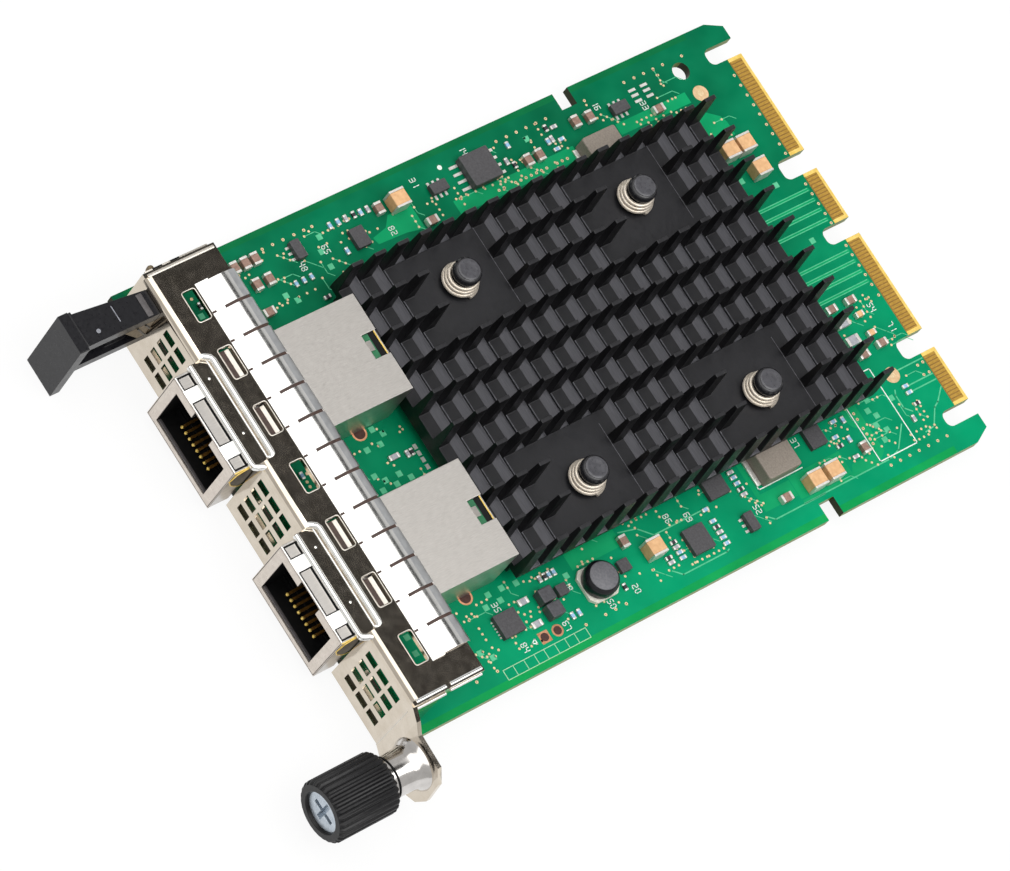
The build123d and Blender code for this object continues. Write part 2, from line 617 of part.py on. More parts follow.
def make_inductors():
    """Square pressed blocks, a drum core and a group of small blocks."""
    width, depth, height = BLOCK_SIZE
    save("block_inductors", *[standing(x, y, width, depth, 0, height) for x, y in BLOCK_INDUCTORS])
    x, y = ROUND_INDUCTOR
    diameter, rim = ROUND_FLANGE
    drum = prism(x, y, diameter, MEDIUM_COUNT, 0, rim)
    drum += prism(x, y, ROUND_CORE, MEDIUM_COUNT, rim, ROUND_TOP - rim)
    drum += prism(x, y, diameter, MEDIUM_COUNT, ROUND_TOP - rim, ROUND_TOP)
    save("round_inductor", drum)
    width, depth, height = DOUBLE_SIZE
    save("double_inductor", *[standing(x, y, width, depth, 0, height) for x, y in DOUBLE_INDUCTOR])


def make_small_components():
    """Capacitors and resistors with metal ends."""
    ends = []
    for name, places, size in (("brown_capacitors", BROWN_CAPACITORS, BROWN_SIZE),
                               ("tan_capacitors", TAN_CAPACITORS, TAN_SIZE),
                               ("grey_capacitors", GREY_CAPACITORS, GREY_SIZE),
                               ("chip_resistors", RESISTORS, RESISTOR_SIZE)):
        bodies, caps = two_ended(places, *size)
        save(name, *bodies)
        ends += caps
    save("component_ends", *ends)


make_board()
make_edge_contacts()
make_faceplate()
make_finger_strip()
make_pull_tab()
make_thumbscrew()
for jack_side, jack_x in JACKS:
    make_jack(jack_side, jack_x)
make_heat_sink()
make_controller()
make_chips()
make_inductors()
make_small_components()
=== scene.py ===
"""Looks of the ethernet adapter card: finishes, fine parts, floor, light and camera.

Places are given in millimetres from the middle of the board's front edge, on its top face.
"""
import math
import random

import bmesh
import bpy
from mathutils import Matrix, Vector


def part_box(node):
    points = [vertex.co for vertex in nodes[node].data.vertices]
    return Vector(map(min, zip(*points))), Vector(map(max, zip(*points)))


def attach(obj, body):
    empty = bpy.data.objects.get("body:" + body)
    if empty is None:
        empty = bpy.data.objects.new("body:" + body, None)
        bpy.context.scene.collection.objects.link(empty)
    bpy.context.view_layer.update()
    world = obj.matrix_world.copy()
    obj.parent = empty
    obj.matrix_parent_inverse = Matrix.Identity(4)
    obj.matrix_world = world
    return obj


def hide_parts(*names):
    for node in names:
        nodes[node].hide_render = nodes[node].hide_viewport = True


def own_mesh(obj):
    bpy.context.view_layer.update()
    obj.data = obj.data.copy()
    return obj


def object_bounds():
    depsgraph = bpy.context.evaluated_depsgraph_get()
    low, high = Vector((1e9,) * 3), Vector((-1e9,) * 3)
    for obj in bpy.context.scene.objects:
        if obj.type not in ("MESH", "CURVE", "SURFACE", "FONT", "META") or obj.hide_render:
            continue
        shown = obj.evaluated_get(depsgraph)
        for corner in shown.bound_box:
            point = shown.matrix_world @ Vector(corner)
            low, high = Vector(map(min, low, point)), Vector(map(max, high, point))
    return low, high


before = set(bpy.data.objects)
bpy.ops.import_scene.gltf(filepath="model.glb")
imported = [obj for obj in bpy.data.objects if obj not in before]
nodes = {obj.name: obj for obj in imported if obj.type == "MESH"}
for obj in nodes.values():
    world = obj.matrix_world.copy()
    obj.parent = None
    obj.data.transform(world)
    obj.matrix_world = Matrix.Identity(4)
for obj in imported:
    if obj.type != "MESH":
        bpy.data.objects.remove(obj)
cad_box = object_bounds()

MM = 0.001
DEPTH = 115.0
HALF_WIDTH = 38.0
TOP = 0.785
EVEN = (1, 1, 1)
NOISE_DETAIL = 3.0
NOISE_SPAN = (0.3, 0.7)
RELIEF_STRENGTH = 0.5
GLOSS_PER_TONE, RELIEF_PER_TONE = 1.7, 4
SHARP_ANGLE, WELD_GAP = 35.0, 1e-6
rng = random.Random(11)


def at(x, y, z=0.0):
    """A place on the board, in the part's frame."""
    return Vector((x * MM, (y - DEPTH) * MM, (z + TOP) * MM))


def srgb(red, green, blue):
    """A colour given by its 8-bit screen values."""
    def linear(value):
        value /= 255
        return value / 12.92 if value <= 0.04045 else ((value + 0.055) / 1.055) ** 2.4
    return (linear(red), linear(green), linear(blue), 1.0)


class Finish:
    """A material whose colour, roughness and relief vary with noise in the part's frame."""

    def __init__(self, name, metallic=0.0, **inputs):
        self.mat = bpy.data.materials.new(name)
        self.mat.use_nodes = True
        self.tree = self.mat.node_tree
        self.bsdf = self.tree.nodes["Principled BSDF"]
        self.bsdf.inputs["Metallic"].default_value = metallic
        for key, value in inputs.items():
            self.bsdf.inputs[key.replace("_", " ")].default_value = value
        self.coords = self.add("ShaderNodeTexCoord").outputs["Object"]

    def add(self, kind, **settings):
        """A new node, with its settings."""
        node = self.tree.nodes.new(kind)
        for key, value in settings.items():
            setattr(node, key, value)
        return node

    def link(self, start, end):
        """Join two sockets."""
        self.tree.links.new(start, end)

    def split(self, vector):
        """The X, Y and Z of a vector."""
        node = self.add("ShaderNodeSeparateXYZ")
        self.link(vector, node.inputs[0])
        return node.outputs

    def normal(self):
        """The X, Y and Z of the way a face looks."""
        return self.split(self.add("ShaderNodeNewGeometry").outputs["True Normal"])

    def below(self, value, limit):
        """1 where a value is under its limit, and 0 elsewhere."""
        node = self.add("ShaderNodeMath", operation="LESS_THAN")
        node.inputs[1].default_value = limit
        self.link(value, node.inputs[0])
        return node.outputs[0]

    def upright(self, limit):
        """1 on standing faces, which look up or down by less than the limit."""
        size = self.add("ShaderNodeMath", operation="ABSOLUTE")
        self.link(self.normal()["Z"], size.inputs[0])
        return self.below(size.outputs[0], limit)

    def carry(self, value, start, end):
        """A value carried from one range to another, and held at its ends."""
        node = self.add("ShaderNodeMapRange")
        for key, limit in zip(("From Min", "From Max", "To Min", "To Max"), (*start, *end)):
            node.inputs[key].default_value = limit
        self.link(value, node.inputs["Value"])
        return node.outputs["Result"]

    def ramp(self, value, low, high, span=(0.0, 1.0)):
        """A colour between two tones."""
        node = self.add("ShaderNodeValToRGB")
        first, last = node.color_ramp.elements
        first.position, first.color = span[0], low
        last.position, last.color = span[1], high
        self.link(value, node.inputs["Fac"])
        return node.outputs["Color"]

    def mix(self, factor, first, second):
        """The first colour where the factor is 0, and the second, a socket or a tone, where it is 1."""
        node = self.add("ShaderNodeMix", data_type="RGBA")
        self.link(factor, node.inputs["Factor"])
        low, high = [k for k in node.inputs if k.type == "RGBA"]
        self.link(first, low)
        if isinstance(second, tuple):
            high.default_value = second
        else:
            self.link(second, high)
        return [k for k in node.outputs if k.type == "RGBA"][0]

    def noise(self, per_mm, stretch=EVEN):
        """Noise with that many cells in a millimetre."""
        mapping = self.add("ShaderNodeMapping")
        mapping.inputs["Scale"].default_value = stretch
        self.link(self.coords, mapping.inputs["Vector"])
        noise = self.add("ShaderNodeTexNoise")
        noise.inputs["Scale"].default_value = per_mm / MM
        noise.inputs["Detail"].default_value = NOISE_DETAIL
        self.link(mapping.outputs["Vector"], noise.inputs["Vector"])
        return noise.outputs["Fac"]

    def colour(self, socket):
        """Base colour from a socket."""
        self.link(socket, self.bsdf.inputs["Base Color"])

    def roughness(self, low, high, per_mm, stretch=EVEN):
        """Roughness between two values."""
        value = self.carry(self.noise(per_mm, stretch), NOISE_SPAN, (low, high))
        self.link(value, self.bsdf.inputs["Roughness"])

    def relief(self, height_mm, per_mm, stretch=EVEN):
        """Fine bumps of that height."""
        bump = self.add("ShaderNodeBump")
        bump.inputs["Strength"].default_value = RELIEF_STRENGTH
        bump.inputs["Distance"].default_value = height_mm * MM
        self.link(self.noise(per_mm, stretch), bump.inputs["Height"])
        self.link(bump.outputs["Normal"], self.bsdf.inputs["Normal"])


def plain(name, low, high, rough=(0.4, 0.55), metallic=0.0, per_mm=2.0, relief=0.01, stretch=EVEN, **inputs):
    """A finish with two close tones, given in 8-bit values, uneven gloss and a little relief."""
    finish = Finish(name, metallic, **inputs)
    finish.colour(finish.ramp(finish.noise(per_mm, stretch), srgb(*low), srgb(*high), NOISE_SPAN))
    finish.roughness(*rough, per_mm * GLOSS_PER_TONE, stretch)
    finish.relief(relief, per_mm * RELIEF_PER_TONE, stretch)
    return finish.mat


def board_green():
    """Solder mask, lighter to the right, with the bare core at the cut edges and shade on the front ones."""
    finish = Finish("board_green", Specular_IOR_Level=0.08)
    reach = HALF_WIDTH * MM
    across = finish.carry(finish.split(finish.coords)["X"], (-reach, reach), (0.0, 0.65))
    cloud = finish.carry(finish.noise(0.1), NOISE_SPAN, (0.0, 0.35))
    total = finish.add("ShaderNodeMath", operation="ADD")
    finish.link(across, total.inputs[0])
    finish.link(cloud, total.inputs[1])
    mask = finish.ramp(total.outputs[0], srgb(0, 88, 57), srgb(0, 150, 103))
    edged = finish.mix(finish.upright(0.5), mask, srgb(112, 128, 60))
    # Painted shade: cut edges that face the front are darkened, as they lie in shadow behind the faceplate.
    finish.colour(finish.mix(finish.below(finish.normal()["Y"], -0.5), edged, srgb(40, 46, 24)))
    finish.roughness(0.3, 0.42, 0.4)
    finish.relief(0.004, 0.5)
    return finish.mat


GREEN = board_green()
POUR = plain("board_pour", (4, 142, 90), (14, 160, 102), (0.3, 0.42), per_mm=0.2, relief=0.004,
             Specular_IOR_Level=0.12)
BORDER = plain("board_border", (3, 140, 70), (10, 154, 80), (0.3, 0.42), per_mm=0.2, relief=0.004,
               Specular_IOR_Level=0.12)
DARK_BORDER = plain("board_dark_border", (0, 99, 56), (2, 108, 61), (0.3, 0.42), per_mm=0.2, relief=0.004,
                    Specular_IOR_Level=0.12)
LADDER = plain("ladder_print", (140, 196, 150), (166, 212, 174), (0.45, 0.6), per_mm=2.0, relief=0.003)
TRACE = plain("board_trace", (66, 176, 128), (92, 192, 146), (0.28, 0.4), per_mm=0.8, relief=0.003)
SILK = plain("silk_white", (206, 224, 214), (232, 240, 236), (0.5, 0.65), per_mm=3.0, relief=0.004)
VIA = plain("via_copper", (214, 184, 140), (240, 218, 178), (0.3, 0.45), 0.35, per_mm=3.0, relief=0.004)
FIDUCIAL = plain("fiducial", (206, 172, 128), (226, 194, 152), (0.4, 0.5), 0.2, per_mm=2.0, relief=0.004)
COPPER = plain("ring_copper", (190, 128, 92), (222, 164, 128), (0.28, 0.4), 0.7, per_mm=2.0, relief=0.004)
# Painted shade: dark copper-brown discs stand in for the shaded insides of plated holes.
HOLE_SHADE = plain("hole_painted_shade", (52, 24, 16), (72, 34, 22), (0.5, 0.7), per_mm=2.0)
GOLD = plain("gold_contact", (178, 138, 56), (200, 158, 72), (0.34, 0.46), 0.6, per_mm=1.4,
             stretch=(4, 1, 1), relief=0.004)
GOLD_GAP = plain("gold_gap", (134, 100, 40), (152, 116, 50), (0.4, 0.5), 0.3, per_mm=1.0, relief=0.004)
GOLD_EDGE = plain("gold_edge", (232, 196, 92), (248, 216, 122), (0.3, 0.45), 0.3, per_mm=0.8, relief=0.004)
NICKEL = plain("nickel_sheet", (206, 195, 179), (216, 206, 191), (0.1, 0.15), 1.0, per_mm=0.5, relief=0.0004)
SATIN = plain("satin_nickel", (206, 200, 190), (222, 216, 207), (0.3, 0.42), 1.0, per_mm=0.8,
              relief=0.004, stretch=(1, 6, 1))
BRIGHT = plain("bright_spring_sheet", (232, 232, 230), (246, 246, 244), (0.16, 0.24), 1.0, per_mm=0.5,
               relief=0.002)
SHIELD = plain("jack_shield", (198, 194, 189), (212, 208, 203), (0.32, 0.42), 1.0, per_mm=1.2,
               relief=0.004, stretch=(10, 0.7, 1))
CHROME = plain("chrome", (196, 193, 190), (212, 209, 206), (0.1, 0.17), 1.0, per_mm=0.7, relief=0.001)
STEEL = plain("screw_steel", (176, 186, 196), (196, 205, 214), (0.3, 0.42), 0.8, per_mm=1.4, relief=0.006)
WIRE = plain("spring_wire", (224, 212, 194), (240, 230, 216), (0.26, 0.36), 0.45, per_mm=1.4, relief=0.002)
BLACK = plain("black_moulding", (17, 17, 21), (25, 25, 29), (0.26, 0.36), per_mm=1.2, relief=0.006,
              Specular_IOR_Level=0.3)
GREY_FACE = plain("grey_moulding", (72, 69, 70), (86, 82, 83), (0.42, 0.55), per_mm=1.6, relief=0.01)
KNOB = plain("knob_black", (15, 15, 17), (23, 23, 25), (0.3, 0.42), per_mm=1.6, relief=0.01,
             Specular_IOR_Level=0.3)
INSIDE = plain("socket_black", (6, 6, 7), (12, 12, 13), (0.5, 0.65), per_mm=1.0, Specular_IOR_Level=0.2)
GROOVE_LEVEL = 5.05


def anodised():
    """Black anodising, with a painted highlight: lighter grey and streaked in the cut grooves, and painted
    shade: darker on the fins' upright faces.
    """
    finish = Finish("black_anodised", 0.3)
    skin = finish.ramp(finish.noise(1.4, (1, 4, 1)), srgb(26, 26, 29), srgb(36, 36, 40))
    # Painted highlight: the grooves, below the groove level, get a lighter grey for their lit faces.
    groove_highlight = finish.ramp(finish.noise(1.4, (0.4, 6, 1)), srgb(66, 66, 70), srgb(100, 100, 106))
    low = finish.below(finish.split(finish.coords)["Z"], GROOVE_LEVEL * MM)
    # Painted shade: the upright fin faces are mixed to near black, for the shade between the fins.
    finish.colour(finish.mix(finish.upright(0.4), finish.mix(low, skin, groove_highlight), srgb(13, 13, 15)))
    finish.roughness(0.36, 0.5, 2.0)
    finish.relief(0.008, 5.0)
    return finish.mat


ANODISED = anodised()
PACKAGE = plain("chip_package", (58, 57, 60), (74, 73, 76), (0.5, 0.62), per_mm=3.5, relief=0.012)
# Also painted shade: a dark green sheet set low in each jack shield's notch.
SUBSTRATE_AND_NOTCH_SHADE = plain("chip_substrate_and_notch_shade", (24, 96, 60), (34, 112, 72), (0.35, 0.5), per_mm=1.0)
SOFT_PAD = plain("thermal_pad", (150, 152, 156), (170, 172, 176), (0.7, 0.85), per_mm=1.4, relief=0.02)
POWDER = plain("pressed_powder", (122, 113, 103), (140, 131, 121), (0.5, 0.64), per_mm=4.0, relief=0.015)
FERRITE = plain("dark_ferrite", (58, 58, 62), (76, 76, 81), (0.34, 0.5), per_mm=2.5, relief=0.012)
CREAM = plain("cream_base", (204, 204, 192), (224, 222, 210), (0.5, 0.65), per_mm=2.0)
BROWN = plain("ceramic_brown", (128, 100, 88), (156, 126, 112), (0.4, 0.55), per_mm=2.5)
TAN = plain("ceramic_tan", (208, 160, 112), (226, 182, 134), (0.42, 0.56), per_mm=1.6)
GREY = plain("ceramic_grey", (150, 152, 158), (172, 174, 180), (0.4, 0.55), per_mm=2.0)
BLUE = plain("resistor_blue", (126, 170, 204), (158, 198, 226), (0.3, 0.45), per_mm=3.0)
FILM = plain("resistor_film", (36, 38, 44), (52, 54, 60), (0.3, 0.45), per_mm=3.0)
TIN = plain("tinned_metal", (214, 212, 206), (236, 234, 230), (0.3, 0.45), 0.55, per_mm=3.0, relief=0.012)
CONTACT = plain("socket_contact", (96, 66, 24), (128, 92, 40), (0.3, 0.4), 0.9, per_mm=1.4, relief=0.003)
PIN_HEAD = plain("push_pin_black", (26, 26, 29), (36, 36, 39), (0.2, 0.28), per_mm=1.5, relief=0.004)
# Painted highlight: a lighter grey for the lit domes of the push pins.
PIN_TOP_HIGHLIGHT = plain("push_pin_top_highlight", (62, 62, 66), (80, 80, 85), (0.25, 0.34), per_mm=1.5, relief=0.004)
DISC = plain("inductor_top", (86, 86, 91), (104, 104, 109), (0.4, 0.52), per_mm=3.0, relief=0.008)
BRONZE = plain("bronze_web", (98, 85, 64), (120, 105, 80), (0.35, 0.45), 0.4, per_mm=1.5, relief=0.004)
# Painted shade: dark brown fill set in slits and slots, where only shade shows.
SLIT_SHADE = plain("slit_painted_shade", (52, 36, 30), (72, 50, 42), (0.5, 0.65), per_mm=2.0, relief=0.004)
FRAME = plain("jack_frame", (205, 195, 185), (218, 209, 199), (0.26, 0.36), 0.85, per_mm=1.0, relief=0.003)
# Painted shade: a greyer copy of the spring sheet for the fingers' tails, which curve down away from the
# light.
FINGER_TAIL_SHADE = plain("finger_tail_painted_shade", (186, 188, 191), (206, 208, 210), (0.3, 0.42), 1.0, per_mm=0.8,
                    relief=0.003)
MARK = plain("mould_mark", (112, 114, 122), (146, 148, 156), (0.4, 0.5), per_mm=2.0, relief=0.003)
LEAF = plain("leaf_brown", (34, 26, 12), (50, 38, 18), (0.4, 0.5), 0.0, per_mm=1.0, relief=0.003)
# Painted highlight: a lighter grey for the lit top edges of the heat sink's fins.
SINK_HIGHLIGHT = plain("sink_painted_highlight", (96, 96, 102), (124, 124, 130), (0.3, 0.4), 0.5, per_mm=2.0,
                  relief=0.004)


class Piece:
    """Shapes in board millimetres, gathered into one mesh."""

    def __init__(self, name):
        self.name = name
        self.bm = bmesh.new()
        self.mats = []

    def faces(self, points, loops, mat):
        """Vertices and faces with one finish; returns the new faces."""
        if mat not in self.mats:
            self.mats.append(mat)
        index = self.mats.index(mat)
        verts = [self.bm.verts.new(p) for p in points]
        made = []
        for loop in loops:
            face = self.bm.faces.new([verts[i] for i in loop])
            face.material_index = index
            made.append(face)
        return made

    def prism(self, outline, low, high, mat, place=None):
        """An outline in X and Y, drawn up from one level to another; place turns and moves it."""
        count = len(outline)
        points = [Vector((x, y, low)) for x, y in outline] + [Vector((x, y, high)) for x, y in outline]
        if place is not None:
            points = [place @ p for p in points]
        loops = [list(range(count))[::-1], list(range(count, 2 * count))]
        loops += [[i, (i + 1) % count, count + (i + 1) % count, count + i] for i in range(count)]
        return self.faces(points, loops, mat)

    def box(self, x0, x1, y0, y1, z0, z1, mat, round_mm=0.0, place=None):
        """A box, with its edges rounded off."""
        made = self.prism([(x0, y0), (x1, y0), (x1, y1), (x0, y1)], z0, z1, mat, place)
        if round_mm:
            edges = list({e for f in made for e in f.edges})
            bmesh.ops.bevel(self.bm, geom=edges, offset=round_mm, segments=2, profile=0.6, affect="EDGES",
                            material=self.mats.index(mat))

    def flat(self, outline, z, mat):
        """A thin printed or plated shape on the board."""
        self.faces([Vector((x, y, z)) for x, y in outline], [list(range(len(outline)))], mat)

    def stroke(self, points, width, z, mat):
        """A printed line with square joints."""
        for (x0, y0), (x1, y1) in zip(points, points[1:]):
            run = Vector((x1 - x0, y1 - y0)).normalized() * (width / 2)
            side = Vector((-run.y, run.x))
            corners = [(x0 - run.x + side.x, y0 - run.y + side.y), (x0 - run.x - side.x, y0 - run.y - side.y),
                       (x1 + run.x - side.x, y1 + run.y - side.y), (x1 + run.x + side.x, y1 + run.y + side.y)]
            self.flat(corners, z, mat)

    def disc(self, x, y, radius, z, mat, sides=12, inner=0.0):
        """A flat disc or ring."""
        turn = [2 * math.pi * i / sides for i in range(sides)]
        outer = [Vector((x + radius * math.cos(a), y + radius * math.sin(a), z)) for a in turn]
        if not inner:
            self.faces(outer, [list(range(sides))], mat)
            return
        hole = [Vector((x + inner * math.cos(a), y + inner * math.sin(a), z)) for a in turn]
        loops = [[i, (i + 1) % sides, sides + (i + 1) % sides, sides + i] for i in range(sides)]
        self.faces(outer + hole, loops, mat)

    def lathe(self, section, place, mat, sides=32, closed=False):
        """A turned shape: radius and height along the place's Z axis."""
        points = []
        for radius, height in section:
            for i in range(sides):
                a = 2 * math.pi * i / sides
                points.append(place @ Vector((radius * math.cos(a), radius * math.sin(a), height)))
        loops = []
        rows = len(section)
        for r in range(rows if closed else rows - 1):
            for i in range(sides):
                a, b = r * sides, ((r + 1) % rows) * sides
                loops.append([a + i, a + (i + 1) % sides, b + (i + 1) % sides, b + i])
        if not closed:
            loops.append(list(range(sides))[::-1])
            loops.append([(rows - 1) * sides + i for i in range(sides)])
        self.faces(points, loops, mat)

    def tube(self, path, radius, mat, sides=10):
        """A round wire along a path."""
        path = [Vector(p) for p in path]
        points = []
        normal = Vector((0, 0, 1))
        for i, p in enumerate(path):
            along = (path[min(i + 1, len(path) - 1)] - path[max(i - 1, 0)]).normalized()
            if abs(along.dot(normal)) > 0.95:
                normal = Vector((1, 0, 0)) if abs(along.x) < 0.9 else Vector((0, 1, 0))
            normal = (normal - along * along.dot(normal)).normalized()
            side = along.cross(normal)
            for k in range(sides):
                a = 2 * math.pi * k / sides
                points.append(p + (normal * math.cos(a) + side * math.sin(a)) * radius)
        loops = [list(range(sides)), [(len(path) - 1) * sides + k for k in range(sides)][::-1]]
        for i in range(len(path) - 1):
            for k in range(sides):
                a, b = i * sides, (i + 1) * sides
                loops.append([a + k, b + k, b + (k + 1) % sides, a + (k + 1) % sides])
        self.faces(points, loops, mat)

    def chip(self, x, y, lengthwise, length, width, height, body, band=0.3):
        """A small part with a tinned band at each end."""
        place = Matrix.Translation((x, y, 0)) @ Matrix.Rotation(math.pi / 2 if lengthwise else 0, 4, "Z")
        half, side, inner = length / 2, width / 2, length / 2 - band
        self.box(-inner, inner, -side * 0.96, side * 0.96, 0.02, height, body, 0.0, place)
        for end in (-1, 1):
            low, high = sorted((end * inner, end * half))
            self.box(low, high, -side, side, 0.0, height + 0.03, TIN, min(0.08, width * 0.1), place)

    def done(self, body="card", replaces=(), bevel=0.0, angle=SHARP_ANGLE, segments=2):
        """Make the object, in metres, and hang it on its body."""
        for v in self.bm.verts:
            v.co = at(*v.co)
        bmesh.ops.recalc_face_normals(self.bm, faces=self.bm.faces)
        mesh = bpy.data.meshes.new(self.name)
        self.bm.to_mesh(mesh)
        self.bm.free()
        for mat in self.mats:
            mesh.materials.append(mat)
        mesh.polygons.foreach_set("use_smooth", [True] * len(mesh.polygons))
        mesh.set_sharp_from_angle(angle=math.radians(angle))
        obj = bpy.data.objects.new(self.name, mesh)
        bpy.context.scene.collection.objects.link(obj)
        if bevel:
            soften(obj, bevel, segments)
        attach(obj, body)
        if replaces:
            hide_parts(*replaces)
        return obj


def soften(obj, width_mm, segments=2):
    """Round off the sharp edges of an object."""
    weld = obj.modifiers.new("weld", "WELD")
    weld.merge_threshold = WELD_GAP
    bevel = obj.modifiers.new("bevel", "BEVEL")
    bevel.width = width_mm * MM
    bevel.segments = segments
    bevel.limit_method = "ANGLE"
    bevel.angle_limit = math.radians(SHARP_ANGLE)


def dress(name, mat, bevel=0.0):
    """Give a solid its finish and softened edges."""
    obj = nodes[name]
    obj.data.materials.clear()
    obj.data.materials.append(mat)
    if bevel:
        soften(obj, bevel)


SOLIDS = (("circuit_board", GREEN, 0.0), ("upper_edge_contacts", GOLD, 0.0),
          ("lower_edge_contacts", GOLD, 0.0), ("faceplate", NICKEL, 0.08),
          ("spring_finger_strip", BRIGHT, 0.05), ("pull_tab", BLACK, 0.3), ("thumbscrew_barrel", CHROME, 0.1),
          ("thumbscrew_knob", KNOB, 0.1), ("thumbscrew_screw", STEEL, 0.1), ("thumbscrew_spring", WIRE, 0.0),
          ("left_jack_shield", SHIELD, 0.1), ("right_jack_shield", SHIELD, 0.1),
          ("left_jack_body", INSIDE, 0.1), ("right_jack_body", INSIDE, 0.1),
          ("left_jack_contacts", CONTACT, 0.0), ("right_jack_contacts", CONTACT, 0.0),
          ("heat_sink", ANODISED, 0.12), ("heat_sink_push_pins", BLACK, 0.1),
          ("heat_sink_springs", WIRE, 0.1), ("controller_chip", SUBSTRATE_AND_NOTCH_SHADE, 0.05),
          ("thermal_pad", SOFT_PAD, 0.05), ("regulator_chips", PACKAGE, 0.08),
          ("transistor_bodies", PACKAGE, 0.12), ("memory_chip", PACKAGE, 0.15), ("logic_chip", PACKAGE, 0.08),
          ("chip_legs", TIN, 0.0), ("block_inductors", POWDER, 0.3), ("round_inductor", FERRITE, 0.1),
          ("double_inductor", FERRITE, 0.2), ("brown_capacitors", BROWN, 0.06), ("tan_capacitors", TAN, 0.1),
          ("grey_capacitors", GREY, 0.06), ("chip_resistors", BLUE, 0.03), ("component_ends", TIN, 0.08))
for node_name, node_finish, edge in SOLIDS:
    dress(node_name, node_finish, edge)


# Places and sizes on the board, in millimetres
SIDEWAYS = Matrix(((0, 0, 1, 0), (1, 0, 0, 0), (0, 1, 0, 0), (0, 0, 0, 1)))
PRINT, PLATED, INK = 0.006, 0.012, 0.02
TRACED = PRINT + 0.004
FINE_LINE, TRACE_LINE, LADDER_LINE, SILK_LINE = 0.13, 0.2, 0.11, 0.17
VIA_RADIUS, VIA_BORE, SMALL_VIA = 0.25, 0.08, 0.2
PAD_HALF, RING_WALL, DIGIT_HEIGHT = 0.45, 0.28, 0.95

SEGMENTS = {"a": ((0, 2), (1, 2)), "b": ((1, 2), (1, 1)), "c": ((1, 1), (1, 0)), "d": ((0, 0), (1, 0)),
            "e": ((0, 1), (0, 0)), "f": ((0, 2), (0, 1)), "g": ((0, 1), (1, 1))}
DIGITS = ("abcdef", "bc", "abged", "abgcd", "fgbc", "afgcd", "afgedc", "abc", "abcdefg", "abcdfg")
NUMBERS_AT = ((-35.8, 63.2), (-34.5, 53), (-30.1, 29.4), (-31, 34.2), (-29.3, 45.5), (-33.5, 87.4),
              (-30.4, 94.8), (34.1, 42.6), (33.9, 34.3), (33.9, 26.5), (28.9, 38), (26.9, 26), (31.7, 72.4),
              (28, 61.5), (26.8, 58.3), (33.8, 47.5), (25.5, 84.3), (12.5, 109.3), (16.5, 110.5))
TONGUES = ((-31.5, -13.8), (-10.45, -1.45), (1.4, 18.8), (22.1, 31.5))
POURS = (((-31.8, 50.5), (-27.6, 50.5), (-28.2, 47.4), (-28.4, 42.3), (-29.6, 42), (-30.2, 44.8),
          (-31.8, 46.2)), ((-29.5, 57), (-27.2, 57), (-27.2, 80), (-29.5, 80)),
         ((-29.7, 88.5), (-27.8, 88.5), (-27.8, 102.3), (-29.7, 102.3)),
         ((-25.7, 101.5), (-25.5, 103.5), (-24, 105.4), (-22.8, 105.9), (-20.5, 105.9), (-20.2, 101.5)),
         ((23.8, 97), (32.6, 97), (33.6, 95.6), (23.8, 95.6)),
         ((32.2, 95.2), (34, 95.2), (34, 80), (33.6, 80), (33.4, 90), (32.2, 90.8)),
         ((24.3, 95.4), (27.9, 95.4), (27.4, 94.6), (26.2, 94), (24.3, 94.2)),
         ((29.5, 79.9), (33.35, 79.9), (33.35, 90), (29.5, 90)),
         ((29.9, 79.8), (32.6, 79.8), (32.6, 73.4), (24, 73.4), (24, 74.2), (29.9, 74.2)),
         ((24.3, 40.1), (27.2, 40.1), (27.2, 49.5), (24.3, 49.5)))
BORDERS = ((36.8, 37.92, 2.0, 81.9), (36.8, 37.92, 84.9, 108.0), (-37.92, -37.0, 2.0, 81.9),
           (-37.92, -37.0, 84.9, 108.0))
PAIR_BAND, PAIR_GAP, PAIR_ENDS = 0.6, 0.2, (101.5, 111.4)
PAIRS_X = (-8.0, -6.2, -4.4, -2.6, 3.2, 5.0, 6.8, 8.6)
TRACES = (((28, 112), (29.8, 110), (30.3, 109), (32.8, 107), (33, 105.2)), ((25.6, 112), (25.6, 107)),
          ((26.6, 112), (26.6, 107)), ((22.8, 112), (22.8, 107)),
          ((25.3, 104.6), (26, 104.2), (28.3, 104.2), (29.3, 105.2)),
          ((30.3, 102.2), (33.5, 99.2), (34.1, 97), (34.1, 80)), ((34.2, 84), (34.2, 74.2), (33.3, 73.2)),
          ((34.9, 64.5), (35.1, 64), (35.1, 55.6), (33.9, 54.3)), ((28, 64), (28, 55), (26, 53), (25.3, 50)))
VIA_ROWS = ((111.7, (-28.8, -27, -25.2, -23.4, -21.7, -19.8, -18.1, -16.2, -14.5, -8.9, -7.1, -5.3, -3.5,
                     -1.8, 2.3, 4, 5.9, 7.6, 9.4, 11.3, 23.4, 25.2)), (110.6, (23.5, 25.2)),
            (96.0, (24.2, 25.6, 26.6, 28.2, 29.2, 30.1, 30.9)))
VIA_COLUMNS = ((35.0, (108, 106.1, 104.2, 102.3, 100.4, 98.5, 96.6, 44.7, 42.7, 40.8, 37.1, 20.6, 16.8)),
               (-35.0, (105.5, 101.7, 99.8, 97.9, 96, 94, 86.2, 78.6, 76.7, 74.8, 72.9, 71, 69, 34.3, 32.8,
                        31, 29, 27.1, 25.2)), (-28.1, (78, 77, 76, 74, 73, 72, 71, 70, 69, 68, 65.8, 64.8)))
